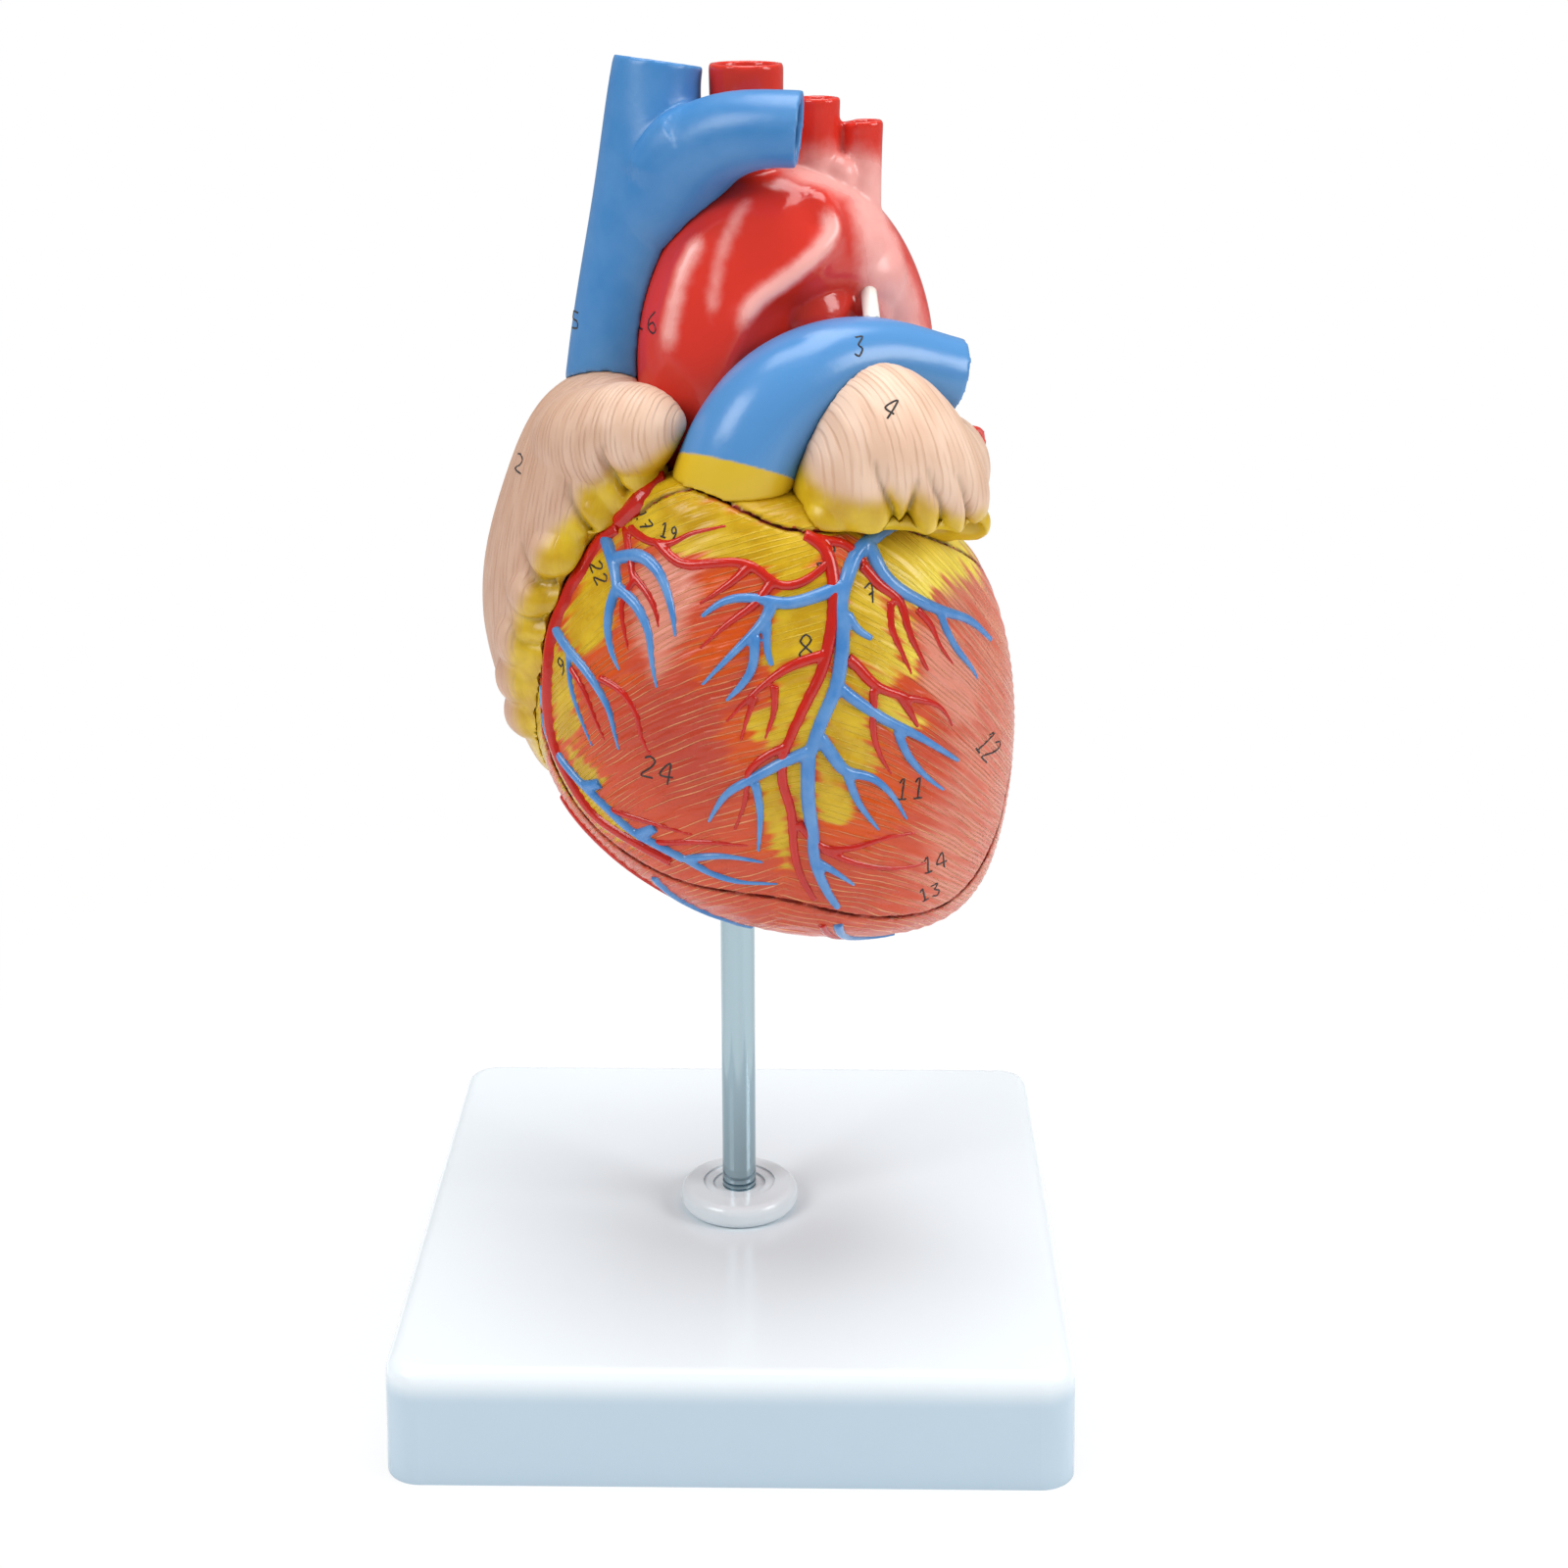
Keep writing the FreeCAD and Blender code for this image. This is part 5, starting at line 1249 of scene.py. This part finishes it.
# Numbers on each node: text, (x, z) of its middle, height in millimetres and tilt in degrees.
FRONT_NUMBERS = {
    "front_heart_wall": (
        ("17", (-17.9, 204.4), 2.7, -58),
        ("19", (-12.2, 203.2), 2.8, -12),
        ("22", (-27.6, 192.4), 3.0, -60),
        ("9", (-35.9, 172), 3.6, 10),
        ("8", (16.3, 181.6), 5.4, 0),
        ("7", (29.5, 191.5), 3.6, 20),
        ("18", (20, 199.5), 3.4, 85),
        ("24", (-14.7, 153.8), 5.0, -14),
        ("12", (55.6, 153.1), 4.4, -62),
        ("11", (38.5, 149), 4.6, -6),
        ("14", (44.1, 130), 4.0, 4),
        ("13", (43.3, 122.3), 3.6, 12),
    ),
}
HEART_NUMBERS = {
    "left_auricle": (("4", (33.2, 228.7), 3.8, -40),),
    "aorta": (("16", (-18, 242.1), 4.4, 0),),
    "superior_vena_cava": (("5", (-33.9, 240.3), 3.6, 0),),
    "pulmonary_trunk": (("3", (26.9, 239.4), 3.6, 0),),
    "right_atrium": (("2", (-45.4, 212), 3.4, -10),),
}
# Shape of the writing: width of a digit in parts of its height, and space from digit to digit in widths.
DIGIT_WIDTH = 0.6
DIGIT_SPACE = 1.25
# A stroke ends where the surface lies further than this to the side of it, in millimetres.
STRAY = 0.2


def digit_strokes(text, centre, height, tilt):
    """The strokes of a number as lists of (x, z) points in millimetres."""
    width = height * DIGIT_WIDTH
    cosine, sine = math.cos(math.radians(tilt)), math.sin(math.radians(tilt))
    for order, digit in enumerate(text):
        shift = (order - len(text) / 2) * width * DIGIT_SPACE
        for stroke in STROKES[digit]:
            spots = [(shift + u * width, (v - 0.5) * height) for u, v in spread(stroke, 0.15)[0]]
            yield [
                (centre[0] + across * cosine - up * sine, centre[1] + across * sine + up * cosine)
                for across, up in spots
            ]


def write_numbers(name, numbers):
    """Ink strokes of several numbers, laid on the surfaces that they are written on."""
    curve = new_curve(name, relief().pen_radius, 1)
    sink = relief().pen_radius / MM * 0.4
    for node, texts in numbers.items():
        wall = surface(bpy.data.objects[node + "_cast"])
        for spots in (stroke for text in texts for stroke in digit_strokes(*text)):
            marks = []
            for x, z in spots:
                met, normal = drop(wall, x, z)
                if abs(met.x - x) < STRAY:
                    marks.append(met - normal * sink)
            if len(marks) > 1:
                add_line(curve, marks, [1.0] * len(marks))
    return smooth_piece(link(bpy.data.objects.new(name + "_curve", curve)), name)


class HEART_OT_key_numbers(bpy.types.Operator):
    """Writes the key numbers in ink"""

    bl_idname = PREFIX + "key_numbers"
    bl_label = "Key numbers"

    def execute(self, context):
        ink = paints().ink
        material = vessel_material("key_ink", ink, ink, roughness=MATT, bump=0.02)
        for body, numbers in (("front_wall", FRONT_NUMBERS), ("heart", HEART_NUMBERS)):
            settle(write_numbers(body + "_numbers", numbers), body, None, material)
        return {"FINISHED"}


# ---------------------------------------------------------------- inner parts and stand


class HEART_OT_inner_parts(bpy.types.Operator):
    """Finishes the valves, cords, magnets and the rod's socket"""

    bl_idname = PREFIX + "inner_parts"
    bl_label = "Valves, cords and magnets"

    def execute(self, context):
        colours = paints()
        finish = stand_finish()
        cream = vessel_material("leaflet_paint", colours.leaflet, colours.pale, grain=4, roughness=MATT)
        nickel = metal("magnet_nickel", finish.nickel, roughness=0.2, stretch=(400, 400, 400))
        grey = plain_plastic("socket_plastic", finish.socket, roughness=0.4, grain=1.0, bump=0.02)
        for node in ("tricuspid_valve", "mitral_valve", "aortic_valve", "pulmonary_valve"):
            settle(cast(node, skin=0.35, rounds=3), "heart", "valve_cream", cream, node)
        dress(cream, "right_cords", "left_front_cords", "left_rear_cords")
        levels = ("right", "middle", "lower")
        dress(nickel, *(f"{side}_{level}_magnet" for side in ("front", "rear") for level in levels))
        dress(grey, "rod_socket")
        return {"FINISHED"}


class HEART_OT_stand(bpy.types.Operator):
    """Finishes the base, the rod and its fastenings"""

    bl_idname = PREFIX + "stand"
    bl_label = "Stand"

    def execute(self, context):
        finish = stand_finish()
        # Painted shade on the base: full below 20 mm, fading out by 26 mm.
        low_shade = (20, 26, finish.shaded)
        white = plain_plastic(
            "base_plastic", finish.plastic, roughness=0.16, grain=1.2, bump=0.015, low_shade=low_shade
        )
        steel = metal("rod_steel", finish.steel, roughness=0.09, stretch=(700, 700, 12))
        zinc = metal("zinc_plate", finish.zinc, roughness=0.35, stretch=(500, 500, 500))
        dress(white, "base_plate", "rod_collar")
        dress(steel, "support_rod")
        dress(zinc, "rod_washer", "rod_nut")
        return {"FINISHED"}


# ---------------------------------------------------------------- stage

# The camera: place, then how far it looks down and to the side in degrees, and its lens in millimetres.
CAMERA_PLACE = Vector((18.75, -542.79, 332.36)) * MM
CAMERA_PITCH = 19.91
CAMERA_YAW = -0.84
CAMERA_LENS = 58.21
# Name, place in metres, side in metres, setting that holds its power.
LAMPS = (
    ("key_lamp", (-0.8, -0.65, 0.95), 0.6, "key_power"),
    ("fill_lamp", (0.95, -0.35, 0.7), 0.5, "fill_power"),
    ("top_lamp", (0.05, 0.15, 1.35), 0.9, "top_power"),
)
AIM = Vector((0.01, 0, 0.16))
# Half the floor's side, and where its soft shadows start and end to go over to plain white, in metres.
FLOOR_REACH = 6
SHADOW_FADE = (0.1, 0.35)


class HEART_OT_stage(bpy.types.Operator):
    """Makes the floor, the lamps, the sky and the camera"""

    bl_idname = PREFIX + "stage"
    bl_label = "Stage"

    def floor(self, colour):
        """A wide floor that takes soft shadows near the stand and is plain white further out."""
        sheet = bmesh.new()
        bmesh.ops.create_grid(sheet, x_segments=8, y_segments=8, size=FLOOR_REACH)
        mesh = bpy.data.meshes.new("floor")
        sheet.to_mesh(mesh)
        sheet.free()
        floor = link(bpy.data.objects.new("floor", mesh))
        recipe = Recipe("floor_paint")
        mesh.materials.append(recipe.finish(colour, 0.8))
        tree = recipe.tree
        glow = add(tree, "Emission", {"Color": (1, 1, 1), "Strength": 1.0}).outputs[0]
        seen = Signal(tree, add(tree, "LightPath").outputs["Is Camera Ray"])
        reach = Signal(tree, vector_maths(tree, "LENGTH", recipe.position)["Value"])
        share = seen * reach.fade(*SHADOW_FADE, 0.8, 1.0)
        mixed = add(tree, "MixShader", {0: share, 1: recipe.shader.outputs[0], 2: glow})
        feed(tree, tree.nodes["Material Output"].inputs["Surface"], mixed.outputs[0])

    def sky(self, strength):
        """Even light from all round; the camera sees it as plain white."""
        world = bpy.data.worlds.new("studio")
        bpy.context.scene.world = world
        world.use_nodes = True
        tree = world.node_tree
        backdrop = tree.nodes["Background"].inputs
        backdrop["Color"].default_value = (1, 1, 1, 1)
        path = add(tree, "LightPath").outputs
        seen = maths(tree, "MAXIMUM", path["Is Camera Ray"], path["Is Transmission Ray"])
        feed(tree, backdrop["Strength"], seen.mix(strength, 1.0))

    def lamps(self, settings):
        """Soft square lamps that face the middle of the stand."""
        for name, spot, side, power in LAMPS:
            lamp = bpy.data.lights.new(name, "AREA")
            lamp.size = side
            lamp.energy = getattr(settings, power)
            piece = link(bpy.data.objects.new(name, lamp))
            piece.location = spot
            piece.rotation_euler = (AIM - Vector(spot)).to_track_quat("-Z", "Y").to_euler()

    def camera(self):
        """The camera, looking down a little on the front."""
        camera = bpy.data.cameras.new("camera")
        camera.lens = CAMERA_LENS
        camera.clip_start = 0.01
        eye = link(bpy.data.objects.new("camera", camera))
        eye.location = CAMERA_PLACE
        pitch, yaw = math.radians(CAMERA_PITCH), math.radians(CAMERA_YAW)
        ahead = Vector((math.sin(yaw) * math.cos(pitch), math.cos(yaw) * math.cos(pitch), -math.sin(pitch)))
        eye.rotation_euler = ahead.to_track_quat("-Z", "Y").to_euler()
        return eye

    def execute(self, context):
        scene = context.scene
        settings = scene.heart_stage
        scene.view_settings.view_transform = "Standard"
        self.floor(settings.floor)
        self.sky(settings.sky)
        self.lamps(settings)
        scene.camera = self.camera()
        return {"FINISHED"}


# ---------------------------------------------------------------- panel and run

STEPS = (
    HEART_OT_stage, HEART_OT_stand, HEART_OT_walls, HEART_OT_atria, HEART_OT_great_vessels,
    HEART_OT_surface_vessels, HEART_OT_inner_parts, HEART_OT_key_numbers,
)


class HEART_PT_panel(bpy.types.Panel):
    """Lists the steps that finish the heart"""

    bl_idname = "HEART_PT_panel"
    bl_label = "Teaching heart"
    bl_space_type = "VIEW_3D"
    bl_region_type = "UI"
    bl_category = "Teaching heart"

    def draw(self, context):
        for step in STEPS:
            self.layout.operator(step.bl_idname)


SETTINGS = {
    "heart_paints": HeartPaints,
    "heart_relief": HeartRelief,
    "heart_stand": StandFinish,
    "heart_stage": StageSettings,
}
CLASSES = (*SETTINGS.values(), *STEPS, HEART_PT_panel)


def register():
    for each in CLASSES:
        bpy.utils.register_class(each)
    for name, group in SETTINGS.items():
        setattr(bpy.types.Scene, name, bpy.props.PointerProperty(type=group))


def unregister():
    for name in SETTINGS:
        delattr(bpy.types.Scene, name)
    for each in reversed(CLASSES):
        bpy.utils.unregister_class(each)


def main():
    """Runs every step in order."""
    register()
    for step in STEPS:
        family, name = step.bl_idname.split(".")
        getattr(getattr(bpy.ops, family), name)()


if __name__ == "__main__":
    main()
